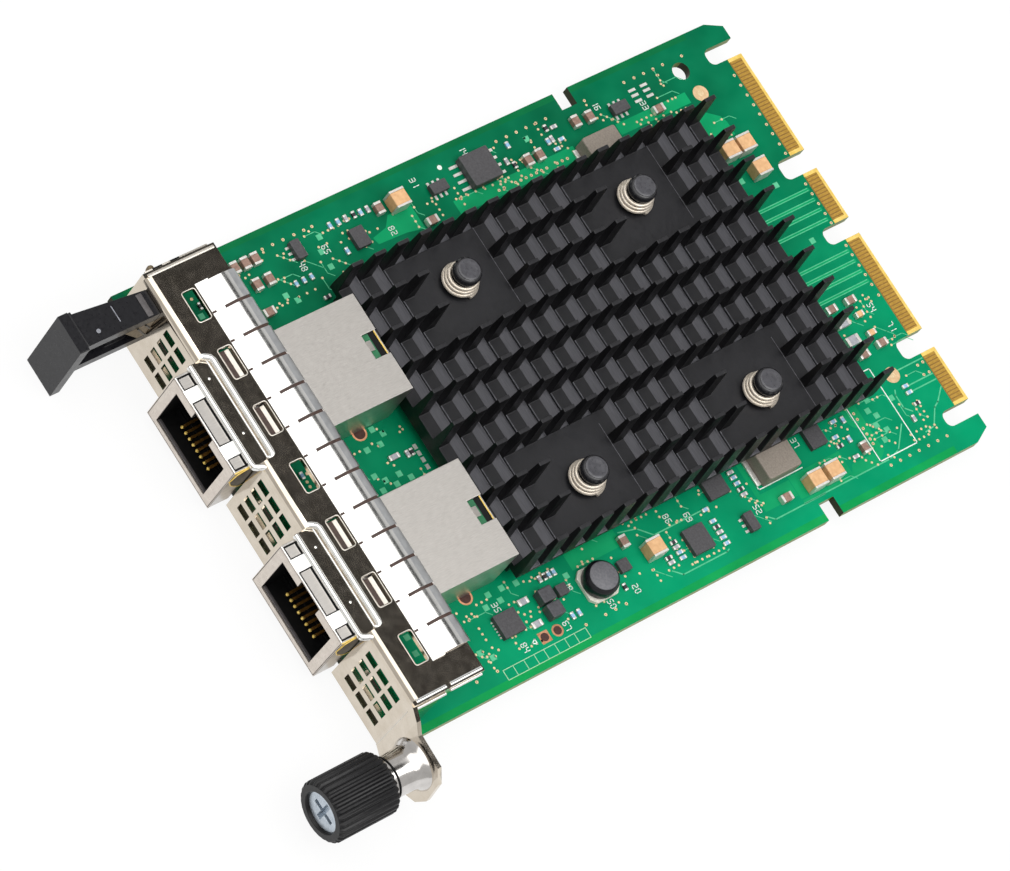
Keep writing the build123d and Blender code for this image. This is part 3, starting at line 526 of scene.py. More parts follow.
TEST_PADS = ((24.8, 11.1), (27.4, 10.9), (-29.8, 10.8), (-3, 25.7), (-1.75, 24.4), (-4.2, 24.5), (3.3, 24.4),
             (3.3, 21.9), (2.1, 20.7), (4.5, 20.7), (4.5, 25.8), (4.5, 23.2), (-1.8, 22), (-33.1, 34.4),
             (-31, 33.4), (-28.4, 33.4), (-27.3, 24.4), (-26, 25.7), (-33.4, 73.8), (33, 21.2), (31.6, 19.8),
             (24.7, 28.5), (24.7, 26), (26.2, 27.3), (26.2, 24.6), (25, 31), (27.4, 38.7), (26.1, 103.3),
             (24.7, 99.3), (27.4, 99.3), (30, 99.5), (31.2, 98.2), (28.7, 98.3), (26.2, 98.4), (-10.7, 107),
             (-13.5, 102.1), (-0.6, 107))
VIA_FIELDS = ((-35.2, -26, 18, 52, 34), (-35.2, -27, 52, 80, 26), (-35.2, -27, 86, 101, 18),
              (24, 34.5, 18, 50, 44), (24, 34.5, 50, 74, 34), (24, 34.5, 84, 108, 34), (-4, 5.5, 17, 29, 12),
              (10, 19, 101.5, 110, 14), (-25, -20, 102, 105.6, 5))
WINDOW_VIAS = ((-2.6, 11.6), (-1.5, 10.9), (-0.7, 10.9), (-32.7, 10.9))
RINGS = ((-4.5, 22.4, 0.92), (23.5, 22.6, 0.92), (33.8, 32.6, 0.66))
FIDUCIALS = ((-28.5, 104.7), (23.05, 105.7))
LADDER_Y = (36.7, 34.6, 32.8, 30.9, 28.9, 27.1, 25.2, 23.2, 21.4)
OUTLINES = (((20.6, 101.5), (20.6, 102.8), (33.8, 102.8), (33.8, 95.4), (24, 95.4)),
            ((29.2, 83), (29.2, 74.5), (24, 74.5)), ((33.4, 28.6), (33.8, 27.9), (34.2, 28.6), (33.4, 28.6)))
SMALL_ACROSS = ((-2.6, 10.6), (-31.2, 11.4), (-33.8, 43.7), (-33.8, 42.4), (-29.4, 37), (-33.9, 41.2),
                (-33.9, 39.7), (-33.9, 38.3), (-33.9, 36.8), (-33.6, 77.5), (-31.7, 77.4), (-31.6, 76.6),
                (-33.7, 70.2), (-30.5, 69.4), (-31.5, 68.5), (26.1, 37.1), (26.1, 36.2), (26.1, 35.4),
                (26.1, 34.5), (33, 37.1), (33, 35.9), (32.8, 45.9), (30.4, 104.5), (25.7, 93.6), (28.7, 92.7),
                (1.3, 28), (1.3, 27.2))
SMALL_ALONG = ((-24.5, 30), (-33.3, 78.8), (-31.1, 78.8), (-30, 77.2), (24, 71.7), (25, 71.7), (25.9, 71.7),
               (26.9, 71.7), (27.9, 71.7), (28.8, 71.7), (28.2, 64.6), (30.2, 64.6), (31.2, 64.6),
               (32.1, 64.6), (33, 64.6), (34, 64.6), (30.3, 56.9), (31.1, 56.9), (32, 56.9), (32.9, 56.9),
               (32, 54.8), (32.8, 54.8), (25.5, 106.4), (26.6, 106.4), (28.6, 106.5), (31.5, 92),
               (25.3, 91.9), (27.5, 90.7), (29, 90.6))
BROWN_ALONG = ((10.2, 106.3), (10.2, 102.5), (18.1, 106.9), (18.5, 103))
SMALL_SIZE = (1.15, 0.58, 0.38)
TERMINALS = ((24.3, 28.7, 74.4, 75.2), (24.3, 28.7, 81.55, 82.2), (-28.7, -24.3, 79.3, 80.0),
             (-28.7, -24.3, 86.4, 87.0))
DRUM = (30.4, 42.3)
DRUM_REACH, DRUM_CUT = 2.75, 0.9
JACKS_X = (-12.9, 15.2)
JACK_GAP = 8.5
WINDOWS_X = (-28.6, -19.05, -9.6, 0.0, 9.5, 18.95, 28.5)
WINDOW_Y, WINDOW_CORNER = 4.45, 0.42
FOLD_RADIUS, RIM_RADIUS, CREASE_RADIUS = 0.5, 0.09, 0.14
END_FOLDS = ((35.4, 0.3, 5.6, 10.98, FOLD_RADIUS, 16), (35.4, 6.4, 12.0, 10.98, FOLD_RADIUS, 16),
             (36.1, 0.5, 5.6, 10.2, 0.22, 12), (36.0, 6.4, 12.0, 10.45, 0.22, 12))
CLIP_HALF = 2.2
# The middle piece of each clip carries the slit's painted shade.
CLIPS = ((((3.45, 10.2), (3.9, 10.62), (3.9, 10.46), (3.45, 10.04)), SATIN),
         (((3.92, 10.6), (4.6, 10.7), (4.6, 10.54), (3.92, 10.44)), SLIT_SHADE),
         (((4.85, 10.3), (5.4, 10.62), (5.4, 10.5), (4.85, 10.18)), SATIN))
FINGERS, FINGER_PITCH, FINGER_SLOT, FINGER_SHEET = 13, 4.84, 0.22, 0.19
FINGER_TOP = ((5.92, 11.46), (8.1, 11.72), (9.4, 11.93), (10.1, 12.02), (10.5, 12.04), (10.9, 11.99),
              (11.4, 11.88), (12.5, 11.62), (13.0, 11.1), (13.28, 10.45))
SCREW = (41.75, 4.15)
BARREL_SECTION = ((1.9, -0.62), (3.2, -0.62), (3.2, -1.3), (4.1, -1.3), (4.0, -1.55), (3.75, -1.95),
                  (3.5, -2.35), (3.34, -2.7), (3.26, -3.4), (3.2, -5.0), (3.2, -8.3), (3.0, -8.5),
                  (1.5, -8.5), (1.5, -4.9), (1.9, -4.9))
RING_Y, RING_RADIUS = -6.15, 3.22
KNOB_SECTION = ((3.05, -14.6), (3.05, -17.3), (3.3, -17.75), (4.25, -17.75), (4.5, -17.55), (4.72, -17.2),
                (4.72, -7.6), (4.45, -7.25), (3.42, -7.25), (3.42, -14.5))
RIBS, RIBBED_FROM, RIB_DENTS = 28, 4.4, (0.0, 0.0, 0.28, 0.28)
# Coils: turns, radius, taper, start and length
COIL_STEPS = 120
RETURN_COIL, RETURN_WIRE = (5, 2.0, 0.0, -14.25, 5.5), 0.2
PIN_COIL, PIN_WIRE = (3.1, 2.72, 0.6, 4.94, 1.95), 0.34
PIN_SECTION = ((0.5, -3.0), (2.0, -2.6), (2.0, -1.6), (1.5, -1.58), (1.5, 7.5), (2.1, 7.55), (2.2, 7.75),
               (2.2, 8.4), (2.08, 8.7), (1.82, 8.9), (0.5, 8.9))
PIN_CAP = ((1.74, 8.88), (1.7, 9.0), (1.5, 9.08), (1.2, 9.04), (0.4, 9.02))
PIN_REACH = 2.2
SINK_HALF, SINK_FRONT = 24.27, 29.45
FIN_PITCH, ROW_PITCH = 5.394, 4.19
SINK_ROWS, SINK_COLUMNS = 16, 9
LINE_INSET, LINE_MIDDLE, LINE_TOP = 0.8, 1.9, 4.512
PAD_CLEAR_X, PAD_CLEAR_Y = 6.6, 8.1


def number(piece, value, x, y):
    """A plain printed number, its digits drawn with straight strokes."""
    step = DIGIT_HEIGHT / 2
    for i, digit in enumerate(str(value)):
        for key in DIGITS[int(digit)]:
            ends = [(x + (i * 1.7 + u) * step, y + v * step) for u, v in SEGMENTS[key]]
            piece.stroke(ends, FINE_LINE, INK, SILK)


def scatter_vias(piece):
    """Short rows of plated holes and traces at random in the busy areas."""
    for low_x, high_x, low_y, high_y, runs in VIA_FIELDS:
        for _ in range(runs):
            x, y = rng.uniform(low_x, high_x), rng.uniform(low_y, high_y)
            dx, dy = rng.choice(((0.95, 0), (0, 0.95), (0.7, 0.7), (0, 1.5)))
            for k in range(rng.randint(1, 4)):
                if low_x <= x + k * dx <= high_x and low_y <= y + k * dy <= high_y:
                    piece.disc(x + k * dx, y + k * dy, SMALL_VIA, PLATED, VIA, 10)
            if rng.random() < 0.4:
                ends = ((x, y), (x + 2 * dx, y + 2 * dy), (x + 2 * dx + 0.8, y + 2 * dy + 0.8))
                piece.stroke(ends, 0.12, PRINT + 0.003, TRACE)


def make_board_print():
    """Copper areas, traces, plated holes, test pads and printing on the board."""
    piece = Piece("board_print")
    for outline in POURS:
        piece.flat(outline, PRINT, POUR)
    for x0, x1, y0, y1 in BORDERS:
        piece.flat(((x0, y0), (x1, y0), (x1, y1), (x0, y1)), PRINT, BORDER if x0 > 0 else DARK_BORDER)
    for x in PAIRS_X:
        piece.stroke([(x, y) for y in PAIR_ENDS], PAIR_BAND, PRINT + 0.002, POUR)
        for side in (-PAIR_GAP, PAIR_GAP):
            piece.stroke([(x + side, y) for y in PAIR_ENDS], FINE_LINE, TRACED, TRACE)
    for line in TRACES:
        piece.stroke(line, TRACE_LINE, TRACED, TRACE)
    vias = [(x, y) for y, row in VIA_ROWS for x in row]
    vias += [(x, y) for x, column in VIA_COLUMNS for y in column]
    for x, y in vias:
        piece.disc(x, y, VIA_RADIUS, PLATED, VIA, inner=VIA_BORE)
        # Painted shade in the via's bore.
        piece.disc(x, y, VIA_BORE, PLATED - 0.002, HOLE_SHADE)
    scatter_vias(piece)
    for x, y in WINDOW_VIAS:
        piece.disc(x, y, VIA_RADIUS, PLATED, VIA)
    for x, y in TEST_PADS:
        piece.box(x - PAD_HALF, x + PAD_HALF, y - PAD_HALF, y + PAD_HALF, 0, PLATED, TRACE)
    for x, y, bore in RINGS:
        piece.disc(x, y, bore + RING_WALL, PLATED, COPPER, 24, bore)
        # Painted shade in the ring's bore.
        piece.disc(x, y, bore, PLATED - 0.004, HOLE_SHADE, 24)
    piece.box(32.9, 34.7, 29.3, 31.1, 0, PLATED, COPPER)
    # Painted shade in the pad's hole.
    piece.disc(33.8, 30.2, 0.66, PLATED + 0.004, HOLE_SHADE, 24)
    for x, y in FIDUCIALS:
        piece.disc(x, y, 1.3, PLATED, FIDUCIAL, 24)
        piece.disc(x, y, 0.5, PLATED + 0.003, VIA, 20)
    for y in LADDER_Y:
        piece.stroke(((35.4, y), (36.8, y)), LADDER_LINE, INK, LADDER)
    for x in (35.3, 36.9):
        piece.stroke(((x, LADDER_Y[-1]), (x, LADDER_Y[0])), LADDER_LINE, INK, LADDER)
    for line in OUTLINES:
        piece.stroke(line, SILK_LINE, INK, SILK)
    piece.disc(-35, 58.2, 0.4, INK, SILK)
    for i, (x, y) in enumerate(NUMBERS_AT):
        number(piece, 14 + 17 * i % 83, x - 0.7, y - 0.45)
    piece.done()

    piece = Piece("edge_plating")
    front, rear, rim = 112.2, 114.98, 0.6
    for x0, x1 in TONGUES:
        piece.box(x0 + 0.05, x1 - 0.05, front, 114.97, 0, 0.012, GOLD_GAP)
        piece.box(x0 + 0.02, x0 + rim, front, rear, 0, 0.06, GOLD_EDGE)
        piece.box(x1 - rim, x1 - 0.02, front, rear, 0, 0.06, GOLD_EDGE)
        piece.box(x0 + 0.02, x1 - 0.02, 114.5, rear, 0, 0.058, GOLD_EDGE)
    piece.done()


def make_small_parts():
    """The smallest fitted parts, empty pads and terminals."""
    piece = Piece("small_parts")
    bodies = (BLUE, FILM, GREY, BLUE)
    for i, (x, y) in enumerate(SMALL_ACROSS):
        piece.chip(x, y, False, *SMALL_SIZE, bodies[i % 4])
    for i, (x, y) in enumerate(SMALL_ALONG):
        piece.chip(x, y, True, *SMALL_SIZE, bodies[(i + 1) % 4])
    for x, y in BROWN_ALONG:
        piece.chip(x, y, True, 1.9, 1.2, 0.95, BROWN, 0.4)
    for x in (12.7, 16.0):
        piece.chip(x, 106.4, True, 1.5, 0.9, 0.8, TAN, 0.3)
    for x in (27.9, 31.7):
        piece.chip(x, 30.1, True, 1.8, 1.0, 0.5, GREY, 0.45)
    piece.chip(0.85, 25.0, True, 1.8, 0.8, 0.5, GREY, 0.4)
    piece.chip(30.9, 94.0, False, 1.9, 1.2, 0.9, BROWN, 0.4)
    for x in (-33.4, -32.5, -31.5):
        for y in (94.4, 96.7):
            piece.box(x - 0.22, x + 0.22, y - 0.65, y + 0.65, 0, 0.05, TIN)
    for x in (0.8, 1.9, 3.0, 4.2):
        piece.box(x - 0.4, x + 0.4, 28.7, 29.3, 0, 0.08, TIN)
    for x0, x1, y0, y1 in TERMINALS:
        piece.box(x0, x1, y0, y1, 0, 0.35, TIN, 0.08)
    piece.done()

    piece = Piece("drum_inductor")
    x, y = DRUM
    far, near = DRUM_REACH, DRUM_REACH - DRUM_CUT
    corners = [(-far, -near), (-near, -far), (near, -far), (far, -near), (far, near), (near, far),
               (-near, far), (-far, near)]
    piece.prism([(x + dx, y + dy) for dx, dy in corners], 0, 0.6, CREAM)
    middle = Matrix.Translation((x, y, 0))
    piece.lathe([(2.6, 0.6), (2.74, 0.8), (2.74, 2.2), (2.6, 2.5), (2.2, 2.82)], middle, BLACK, 40)
    piece.lathe([(2.22, 2.7), (2.2, 2.9), (2.05, 2.98)], middle, DISC, 40)
    piece.done(replaces=("round_inductor",))


def make_faceplate_detail():
    """Rounded folds over the jacks, window rims, the clips in the windows and the spring fingers."""
    piece = Piece("flange_folds")
    for x in JACKS_X:
        left, right = x - JACK_GAP, x + JACK_GAP
        fold = [(left - 1.4, 0.45, 10.6), (left - 0.9, 0.45, 10.78), (left - 0.45, 0.75, 10.95),
                (left - 0.1, 1.35, 11.05), (left + 0.25, 1.95, 11.05), (left + 0.8, 2.2, 11.05),
                (right - 0.9, 2.2, 11.05), (right - 0.45, 2.15, 11.0), (right - 0.15, 2.0, 10.9),
                (right - 0.1, 1.8, 10.75), (right - 0.3, 1.62, 10.62)]
        piece.tube(fold, FOLD_RADIUS, BRIGHT, 16)
        piece.tube([(left + 0.1, 1.5, 10.54), (right - 0.4, 1.5, 10.54)], 0.17, BRIGHT, 12)
        lip = [(left + 0.1, -1.14, 10.24), (right - 0.5, -1.14, 10.24), (right + 0.0, -1.0, 10.3),
               (right + 0.3, -0.6, 10.45), (right + 0.55, 0.0, 10.6), (right + 0.9, 0.35, 10.75)]
        piece.tube(lip, FOLD_RADIUS, BRIGHT, 16)
        for dx in (-5.6, 3.5):
            place = Matrix.Translation((x + dx, 0.3, 10.6))
            piece.lathe([(0.22, -0.05), (0.2, 0.05), (0.1, 0.11)], place, BRIGHT, 12)
    for x in WINDOWS_X:
        rim = []
        for turn, dx, dy in ((0, 2.1, 0.75), (1, -2.1, 0.75), (2, -2.1, -0.75), (3, 2.1, -0.75)):
            for k in range(5):
                a = math.pi / 2 * (turn + k / 4)
                u, v = WINDOW_CORNER * math.cos(a), WINDOW_CORNER * math.sin(a)
                rim.append((x + dx + u, WINDOW_Y + dy + v, 11.38))
        piece.tube(rim + rim[:1], RIM_RADIUS, SATIN, 8)
    piece.tube([(35.75, -0.4, -3.1), (35.75, -0.4, 9.4)], CREASE_RADIUS, SATIN, 8)
    piece.done()

    piece = Piece("window_clips")
    for x in WINDOWS_X[1:3] + WINDOWS_X[4:6]:
        piece.box(x - 2.35, x + 2.35, 3.45, 5.45, 9.6, 9.7, INSIDE)
        for section, mat in CLIPS:
            piece.prism(section, x - CLIP_HALF, x + CLIP_HALF, mat, SIDEWAYS)
    piece.done()

    piece = Piece("finger_strip")
    top = list(FINGER_TOP)
    under = [(y, z - FINGER_SHEET) for y, z in top]
    half = FINGERS * FINGER_PITCH / 2
    cut = top[:2] + [(8.1, 11.5), (5.92, 11.4)]
    piece.prism(cut, -half, half, BRIGHT, SIDEWAYS)
    for i in range(FINGERS):
        x0 = -half + i * FINGER_PITCH
        # The tails take the greyer sheet as painted shade.
        for a, b, mat in ((1, 6, BRIGHT), (6, 9, FINGER_TAIL_SHADE)):
            section = top[a:b + 1] + under[a:b + 1][::-1]
            piece.prism(section, x0 + FINGER_SLOT, x0 + FINGER_PITCH - FINGER_SLOT, mat, SIDEWAYS)
        if i:
            # Painted shade: dark fill in the slot between two fingers.
            piece.box(x0 - 0.16, x0 + 0.16, 5.95, 6.6, 11.4, 11.57, SLIT_SHADE)
            slot_top = [(y, z - 0.05) for y, z in top[1:8]]
            piece.prism(slot_top + [(y, z - 0.1) for y, z in slot_top[::-1]], x0 - 0.24, x0 + 0.24, SLIT_SHADE,
                        SIDEWAYS)
    piece.done(replaces=("spring_finger_strip",), bevel=0.03, segments=1)


def make_jack_detail(side, x):
    """Front frame, sprung top and side leaf of one jack's shield."""
    piece = Piece(f"{side}_jack_front")
    for x0, x1, z0, z1 in ((-8.1, -6.3, -1.75, 9.9), (6.3, 8.1, -1.75, 9.9), (-6.3, 6.3, -1.75, -0.7),
                           (-6.3, -2.3, 8.1, 9.9), (2.3, 6.3, 8.1, 9.9), (-2.3, 2.3, 9.7, 9.9)):
        piece.box(x + x0, x + x1, -4.0, -3.82, z0, z1, FRAME)
    piece.box(x - 6.2, x + 6.2, -3.8, -3.35, -0.7, -0.4, GREY_FACE, 0.1)
    piece.box(x - 6.3, x + 6.3, -0.6, -0.3, -0.7, 0.28, INSIDE)
    for k in range(8):
        pin = Matrix.Translation((x + k - 3.5, -1.62, 0.27))
        piece.lathe([(0.06, -0.26), (0.2, -0.18), (0.28, 0), (0.2, 0.18), (0.06, 0.26)], pin, GOLD_EDGE, 10)
    for x0, x1 in ((-6.3, -2.3), (2.3, 6.3)):
        piece.box(x + x0, x + x1, -3.8, -2.9, 7.7, 8.1, GREY_FACE, 0.1)
    piece.flat([(x - 7.8, -3.7), (x + 7.8, -3.7), (x + 7.8, -1.2), (x - 7.8, -1.2)], 9.905, INSIDE)
    for x0, x1 in ((-7.5, -5.85), (-3.4, 3.5), (5.95, 7.5)):
        piece.box(x + x0, x + x1, -3.55, -1.85, 9.9, 9.93, SHIELD)
    tilt = [(-3.98, 9.9), (-1.42, 9.9), (-1.42, 10.12), (-3.7, 9.97), (-3.98, 9.93)]
    for x0, x1 in ((-5.65, -3.6), (3.7, 5.8)):
        piece.prism(tilt, x + x0, x + x1, BRIGHT, SIDEWAYS)
    piece.tube([(x - 7.9, -3.8, 9.75), (x + 7.9, -3.8, 9.75)], 0.19, BRIGHT, 12)
    # Painted shade: a dark green sheet under the notch, so that the notch looks deeper.
    piece.box(x - 1.95, x + 1.95, 25.45, 26.5, 9.6, 9.64, SUBSTRATE_AND_NOTCH_SHADE)
    piece.prism([(25.35, 9.93), (26.3, 9.68), (26.3, 9.62), (25.35, 9.87)], x - 0.9, x + 0.7, SHIELD,
                SIDEWAYS)
    piece.box(x - 1.95, x + 1.95, 27.55, 27.72, 9.6, 9.72, GOLD_EDGE)
    piece.done()

    piece = Piece(f"{side}_jack_leaf")
    outline = [(-3.9, 7.2), (-3.2, 9.0), (-1.9, 9.7), (0.0, 9.6), (1.4, 9.0), (2.2, 6.2), (2.3, 3.4),
               (1.0, 2.4), (-1.0, 3.2), (-2.8, 5.0)]
    rim = [(x + 8.16, y, z) for y, z in outline]
    middle = [(x + 8.36, -0.6 + 0.5 * (y + 0.6), 6.2 + 0.5 * (z - 6.2)) for y, z in outline]
    count = len(outline)
    loops = [[k, (k + 1) % count, count + (k + 1) % count, count + k] for k in range(count)]
    piece.faces([Vector(v) for v in rim + middle], loops + [[count + k for k in range(count)]], LEAF)
    piece.tube(rim + rim[:1], 0.09, GOLD_EDGE, 8)
    piece.tube([(x + 8.05, -3.95, 9.86), (x + 8.05, -0.4, 9.86)], 0.1, GOLD_EDGE, 8)
    piece.done()


def helix(turns, radius, taper, start, length):
    """Places along a coil: two measures across its axis, and one along it."""
    for k in range(COIL_STEPS + 1):
        share = k / COIL_STEPS
        turn = 2 * math.pi * turns * share
        reach = radius - taper * share
        yield reach * math.cos(turn), reach * math.sin(turn), start + length * share


def make_thumbscrew_detail():
    """Turned barrel with its flare and ring, ribbed knob, and the coil that is squashed between them."""
    x, z = SCREW
    place = Matrix(((1, 0, 0, x), (0, 0, 1, 0), (0, 1, 0, z), (0, 0, 0, 1)))
    piece = Piece("barrel")
    piece.lathe(BARREL_SECTION, place, CHROME, 48, closed=True)
    ring = [(x + RING_RADIUS * math.cos(a), RING_Y, z + RING_RADIUS * math.sin(a))
            for a in [2 * math.pi * k / 40 for k in range(41)]]
    piece.tube(ring, 0.16, INSIDE, 8)
    piece.done(replaces=("thumbscrew_barrel",), angle=30)

    piece = Piece("knob")
    steps = len(RIB_DENTS)
    count = RIBS * steps
    points = []
    for radius, y in KNOB_SECTION:
        for k in range(count):
            turn = 2 * math.pi * k / count
            dent = RIB_DENTS[k % steps] if radius > RIBBED_FROM else 0.0
            reach = radius - dent
            points.append(Vector((x + reach * math.cos(turn), y, z + reach * math.sin(turn))))
    loops = []
    for row in range(len(KNOB_SECTION)):
        a, b = row * count, (row + 1) % len(KNOB_SECTION) * count
        loops += [[a + k, a + (k + 1) % count, b + (k + 1) % count, b + k] for k in range(count)]
    piece.faces(points, loops, KNOB)
    piece.done(body="thumbscrew", replaces=("thumbscrew_knob",), bevel=0.04, segments=1)

    piece = Piece("return_spring")
    piece.tube([(x + u, w, z + v) for u, v, w in helix(*RETURN_COIL)], RETURN_WIRE, WIRE, 8)
    spring = piece.done(body="spring_carriage", replaces=("thumbscrew_spring",), angle=60)
    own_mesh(spring)


def push_pins():
    """Middles of the push pins, from the box of their solids."""
    low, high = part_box("heat_sink_push_pins")
    reach = PIN_REACH * MM
    xs = (low[0] + reach, high[0] - reach)
    ys = (low[1] + reach, high[1] - reach)
    return [(px / MM, py / MM + DEPTH) for px in xs for py in ys]


def make_push_pins():
    """Domed pins, their tops a lighter grey as a painted highlight, and conical wire springs."""
    pins = Piece("push_pins")
    coils = Piece("push_pin_springs")
    for x, y in push_pins():
        place = Matrix.Translation((x, y, 0))
        pins.lathe(PIN_SECTION, place, PIN_HEAD, 32)
        # Painted highlight: the dome takes the lighter grey.
        pins.lathe(PIN_CAP, place, PIN_TOP_HIGHLIGHT, 32)
        coils.tube([(x + u, y + v, w) for u, v, w in helix(*PIN_COIL)], PIN_WIRE, WIRE, 10)
    pins.done(replaces=("heat_sink_push_pins",), angle=40)
    coils.done(replaces=("heat_sink_springs",), angle=60)


def make_sink_lines():
    """Painted highlights: bright strips along the fins' top edges by the grooves and behind the pads."""
    piece = Piece("sink_highlight_lines")
    for row in range(SINK_ROWS):
        y = SINK_FRONT + (row + 1) * ROW_PITCH
        for column in range(SINK_COLUMNS):
            x0 = -SINK_HALF + column * FIN_PITCH + LINE_INSET
            x1 = -SINK_HALF + (column + 1) * FIN_PITCH - LINE_INSET
            middle = x0 + LINE_MIDDLE
            if any(abs(middle - px) < PAD_CLEAR_X and abs(y - py) < PAD_CLEAR_Y for px, py in push_pins()):
                continue
            piece.box(x0, x1, y - 0.06, y + 0.05, 4.3, LINE_TOP, SINK_HIGHLIGHT)
    for x, y in push_pins():
        piece.box(x - 6.5, x + 6.5, y + 7.2, y + 7.27, 4.4, LINE_TOP, SINK_HIGHLIGHT)
    piece.done()


def make_flange_ends():
    """Rounded folds and the slotted sheet at the two ends of the flange."""
    piece = Piece("flange_ends")
    piece.tube([(-35.35, 0.3, 10.98), (-35.35, 11.9, 10.98)], FOLD_RADIUS, SATIN, 16)
    piece.box(-36.35, -35.9, 0.6, 11.6, 10.3, 10.75, SATIN, 0.15)
    for y0, y1 in ((1.9, 3.6), (5.0, 6.6)):
        piece.box(-36.3, -35.95, y0, y1, 10.6, 10.77, INSIDE)
    piece.lathe([(0.5, 8.9), (0.55, 9.6), (0.42, 9.95), (0.2, 10.05)], Matrix.Translation((-36.65, 2.3, 0)),
                BRONZE, 20)
    for x, y0, y1, z, radius, sides in END_FOLDS:
        piece.tube([(x, y0, z), (x, y1, z)], radius, BRIGHT, sides)
    piece.done()


def make_tab_marks():
    """Moulding marks on the pull tab."""
    piece = Piece("tab_marks")
    piece.lathe([(0.35, 9.98), (0.33, 10.04), (0.18, 10.09)], Matrix.Translation((-31.54, -10.22, 0)), MARK,
                16)
    piece.stroke(((-33.98, -6.5), (-31.53, -6.45)), 0.16, 10.02, MARK)
    piece.box(-34.0, -30.3, -2.35, -1.35, 9.9, 10.12, GREY_FACE, 0.2)
    piece.box(-35.7, -30.15, -13.0, -12.5, 9.6, 10.15, BLACK, 0.15)
    piece.prism([(-5.6, 7.7), (-0.4, 7.7), (-0.4, 1.4)], -30.3, -30.12, BRONZE, SIDEWAYS)
    for y0, z0, y1, z1 in ((-3.4, 7.6, -0.5, 3.2), (-2.0, 7.6, -0.5, 5.4)):
        piece.tube([(-30.08, y0, z0), (-30.08, y1, z1)], 0.16, BLACK, 8)
    piece.done()


make_board_print()
make_small_parts()
make_sink_lines()
make_flange_ends()
make_tab_marks()
make_faceplate_detail()
for jack_side, jack_x in zip(("left", "right"), JACKS_X):
    make_jack_detail(jack_side, jack_x)
make_thumbscrew_detail()
make_push_pins()

# Stage, in metres
FLOOR_HALF = 3.0
FLOOR_TONE, FLOOR_GLOW = 0.9, 0.9
PATCH_TOWARD, PATCH_EDGE, PATCH_LEVEL = (-0.174, 0.56, 0.80), (0.965, 0.99), 0.07
PANEL_HEIGHT, PANEL_FRONT = (0.7, 0.8), (0.42, 0.3)
SKY_LEVEL, PANEL_LEVEL, SKY_TONE = 0.62, 2.1, (1.0, 0.99, 0.975, 1)
LAMP_SIZE, LAMP_POWER = (0.5, 0.4), 1.5
LAMP_AT, LAMP_AIM = (0.25, 0.1, 0.7), (0, -0.06, 0)
LENS = 208.28
EYE = (0.15135, -0.5115, 0.699715)
EYE_RIGHT = (0.53131, 0.76291, 0.36836)
EYE_DOWN = (0.82904, -0.37871, -0.41143)
EYE_AHEAD = (-0.17439, 0.52398, -0.83369)


def spread(tree, value, start, end):
    """A value carried smoothly from one range to another, and held at its ends."""
    node = tree.nodes.new("ShaderNodeMapRange")
    node.interpolation_type = "SMOOTHSTEP"
    for key, limit in zip(("From Min", "From Max", "To Min", "To Max"), (*start, *end)):
        node.inputs[key].default_value = limit
    tree.links.new(value, node.inputs["Value"])
    return node.outputs["Result"]


def maths(tree, operation, first, second):
    """Two values joined by one operation; the second is a socket or a number."""
    node = tree.nodes.new("ShaderNodeMath")
    node.operation = operation
    tree.links.new(first, node.inputs[0])
    if isinstance(second, float):
        node.inputs[1].default_value = second
    else:
        tree.links.new(second, node.inputs[1])
    return node.outputs[0]


def make_floor():
    """Matt white floor, which the camera and reflections see as even white."""
    low = cad_box[0][2]
    mesh = bpy.data.meshes.new("floor")
    corners = [(x * FLOOR_HALF, y * FLOOR_HALF, low) for x, y in ((-1, -1), (1, -1), (1, 1), (-1, 1))]
    mesh.from_pydata(corners, [], [(0, 1, 2, 3)])
    floor = bpy.data.objects.new("floor", mesh)
    bpy.context.scene.collection.objects.link(floor)
    mat = bpy.data.materials.new("floor_white")
    mat.use_nodes = True
    tree = mat.node_tree
    tree.nodes.clear()
    diffuse = tree.nodes.new("ShaderNodeBsdfDiffuse")
    diffuse.inputs["Color"].default_value = (FLOOR_TONE, FLOOR_TONE, FLOOR_TONE, 1)
    glow = tree.nodes.new("ShaderNodeEmission")
    glow.inputs["Color"].default_value = (1, 1, 1, 1)
    path = tree.nodes.new("ShaderNodeLightPath")
    seen = maths(tree, "MAXIMUM", path.outputs["Is Camera Ray"], path.outputs["Is Glossy Ray"])
    mix = tree.nodes.new("ShaderNodeMixShader")
    tree.links.new(maths(tree, "MULTIPLY", seen, FLOOR_GLOW), mix.inputs[0])
    tree.links.new(diffuse.outputs[0], mix.inputs[1])
    tree.links.new(glow.outputs[0], mix.inputs[2])
    out = tree.nodes.new("ShaderNodeOutputMaterial")
    tree.links.new(mix.outputs[0], out.inputs["Surface"])
    mesh.materials.append(mat)


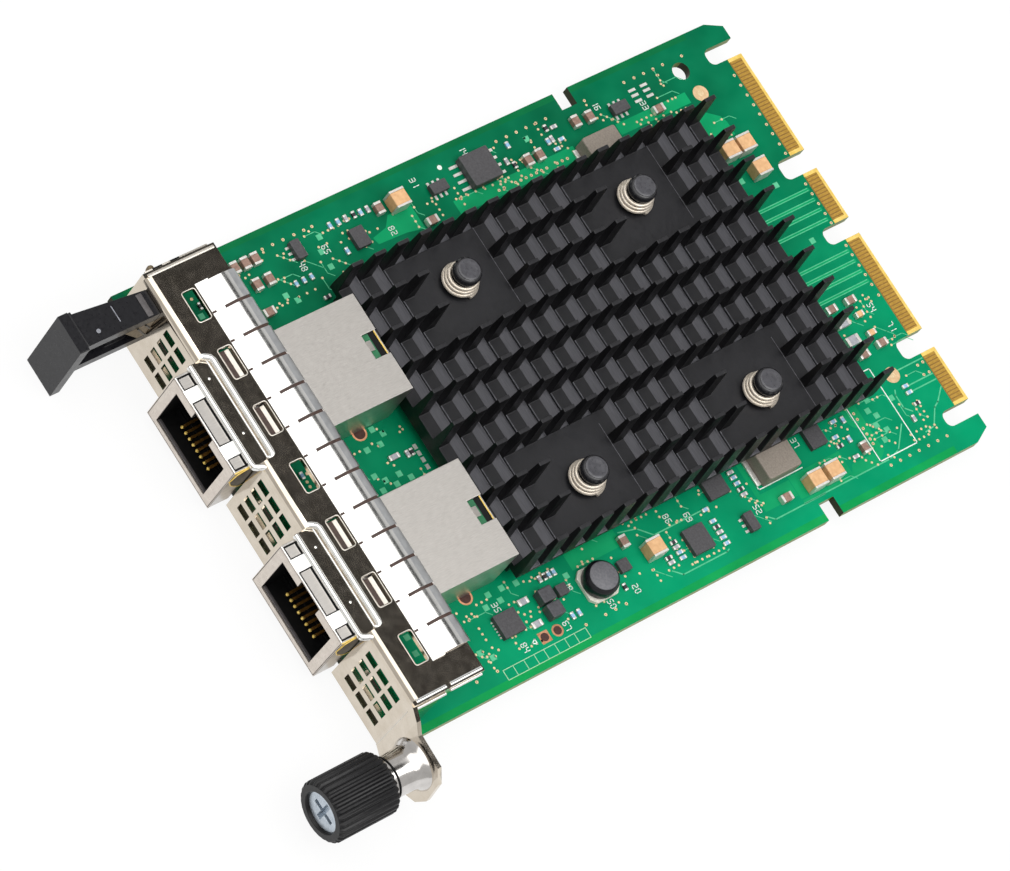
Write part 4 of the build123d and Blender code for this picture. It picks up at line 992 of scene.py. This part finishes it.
def make_sky():
    """Even studio light with a brighter panel overhead and one dark patch, which polished sheet mirrors."""
    world = bpy.data.worlds.new("studio")
    bpy.context.scene.world = world
    world.use_nodes = True
    tree = world.node_tree
    back = tree.nodes["Background"]
    coords = tree.nodes.new("ShaderNodeTexCoord")
    toward = tree.nodes.new("ShaderNodeVectorMath")
    toward.operation = "DOT_PRODUCT"
    toward.inputs[1].default_value = Vector(PATCH_TOWARD).normalized()
    tree.links.new(coords.outputs["Generated"], toward.inputs[0])
    dark = spread(tree, toward.outputs["Value"], PATCH_EDGE, (1.0, PATCH_LEVEL))
    axes = tree.nodes.new("ShaderNodeSeparateXYZ")
    tree.links.new(coords.outputs["Generated"], axes.inputs[0])
    height = spread(tree, axes.outputs["Z"], PANEL_HEIGHT, (0.0, 1.0))
    front = spread(tree, axes.outputs["Y"], PANEL_FRONT, (0.0, 1.0))
    panel = maths(tree, "MULTIPLY", height, front)
    glow = spread(tree, panel, (0.0, 1.0), (SKY_LEVEL, PANEL_LEVEL))
    tree.links.new(maths(tree, "MULTIPLY", glow, dark), back.inputs["Strength"])
    back.inputs["Color"].default_value = SKY_TONE


def make_lamp():
    """One soft lamp above the card."""
    light = bpy.data.lights.new("softbox", "AREA")
    light.shape = "RECTANGLE"
    light.size, light.size_y = LAMP_SIZE
    light.energy = LAMP_POWER
    lamp = bpy.data.objects.new("softbox", light)
    lamp.location = LAMP_AT
    lamp.rotation_euler = (Vector(LAMP_AIM) - lamp.location).to_track_quat("-Z", "Y").to_euler()
    bpy.context.scene.collection.objects.link(lamp)


def make_camera():
    """The camera of the photograph."""
    camera = bpy.data.cameras.new("camera")
    camera.sensor_width = 36.0
    camera.lens = LENS
    camera.clip_start, camera.clip_end = 0.01, 20.0
    eye = bpy.data.objects.new("camera", camera)
    turn = Matrix((Vector(EYE_RIGHT), -Vector(EYE_DOWN), -Vector(EYE_AHEAD))).transposed().to_4x4()
    eye.matrix_world = Matrix.Translation(EYE) @ turn
    bpy.context.scene.collection.objects.link(eye)
    bpy.context.scene.camera = eye


make_floor()
make_sky()
make_lamp()
make_camera()
bpy.context.scene.view_settings.view_transform = "Standard"
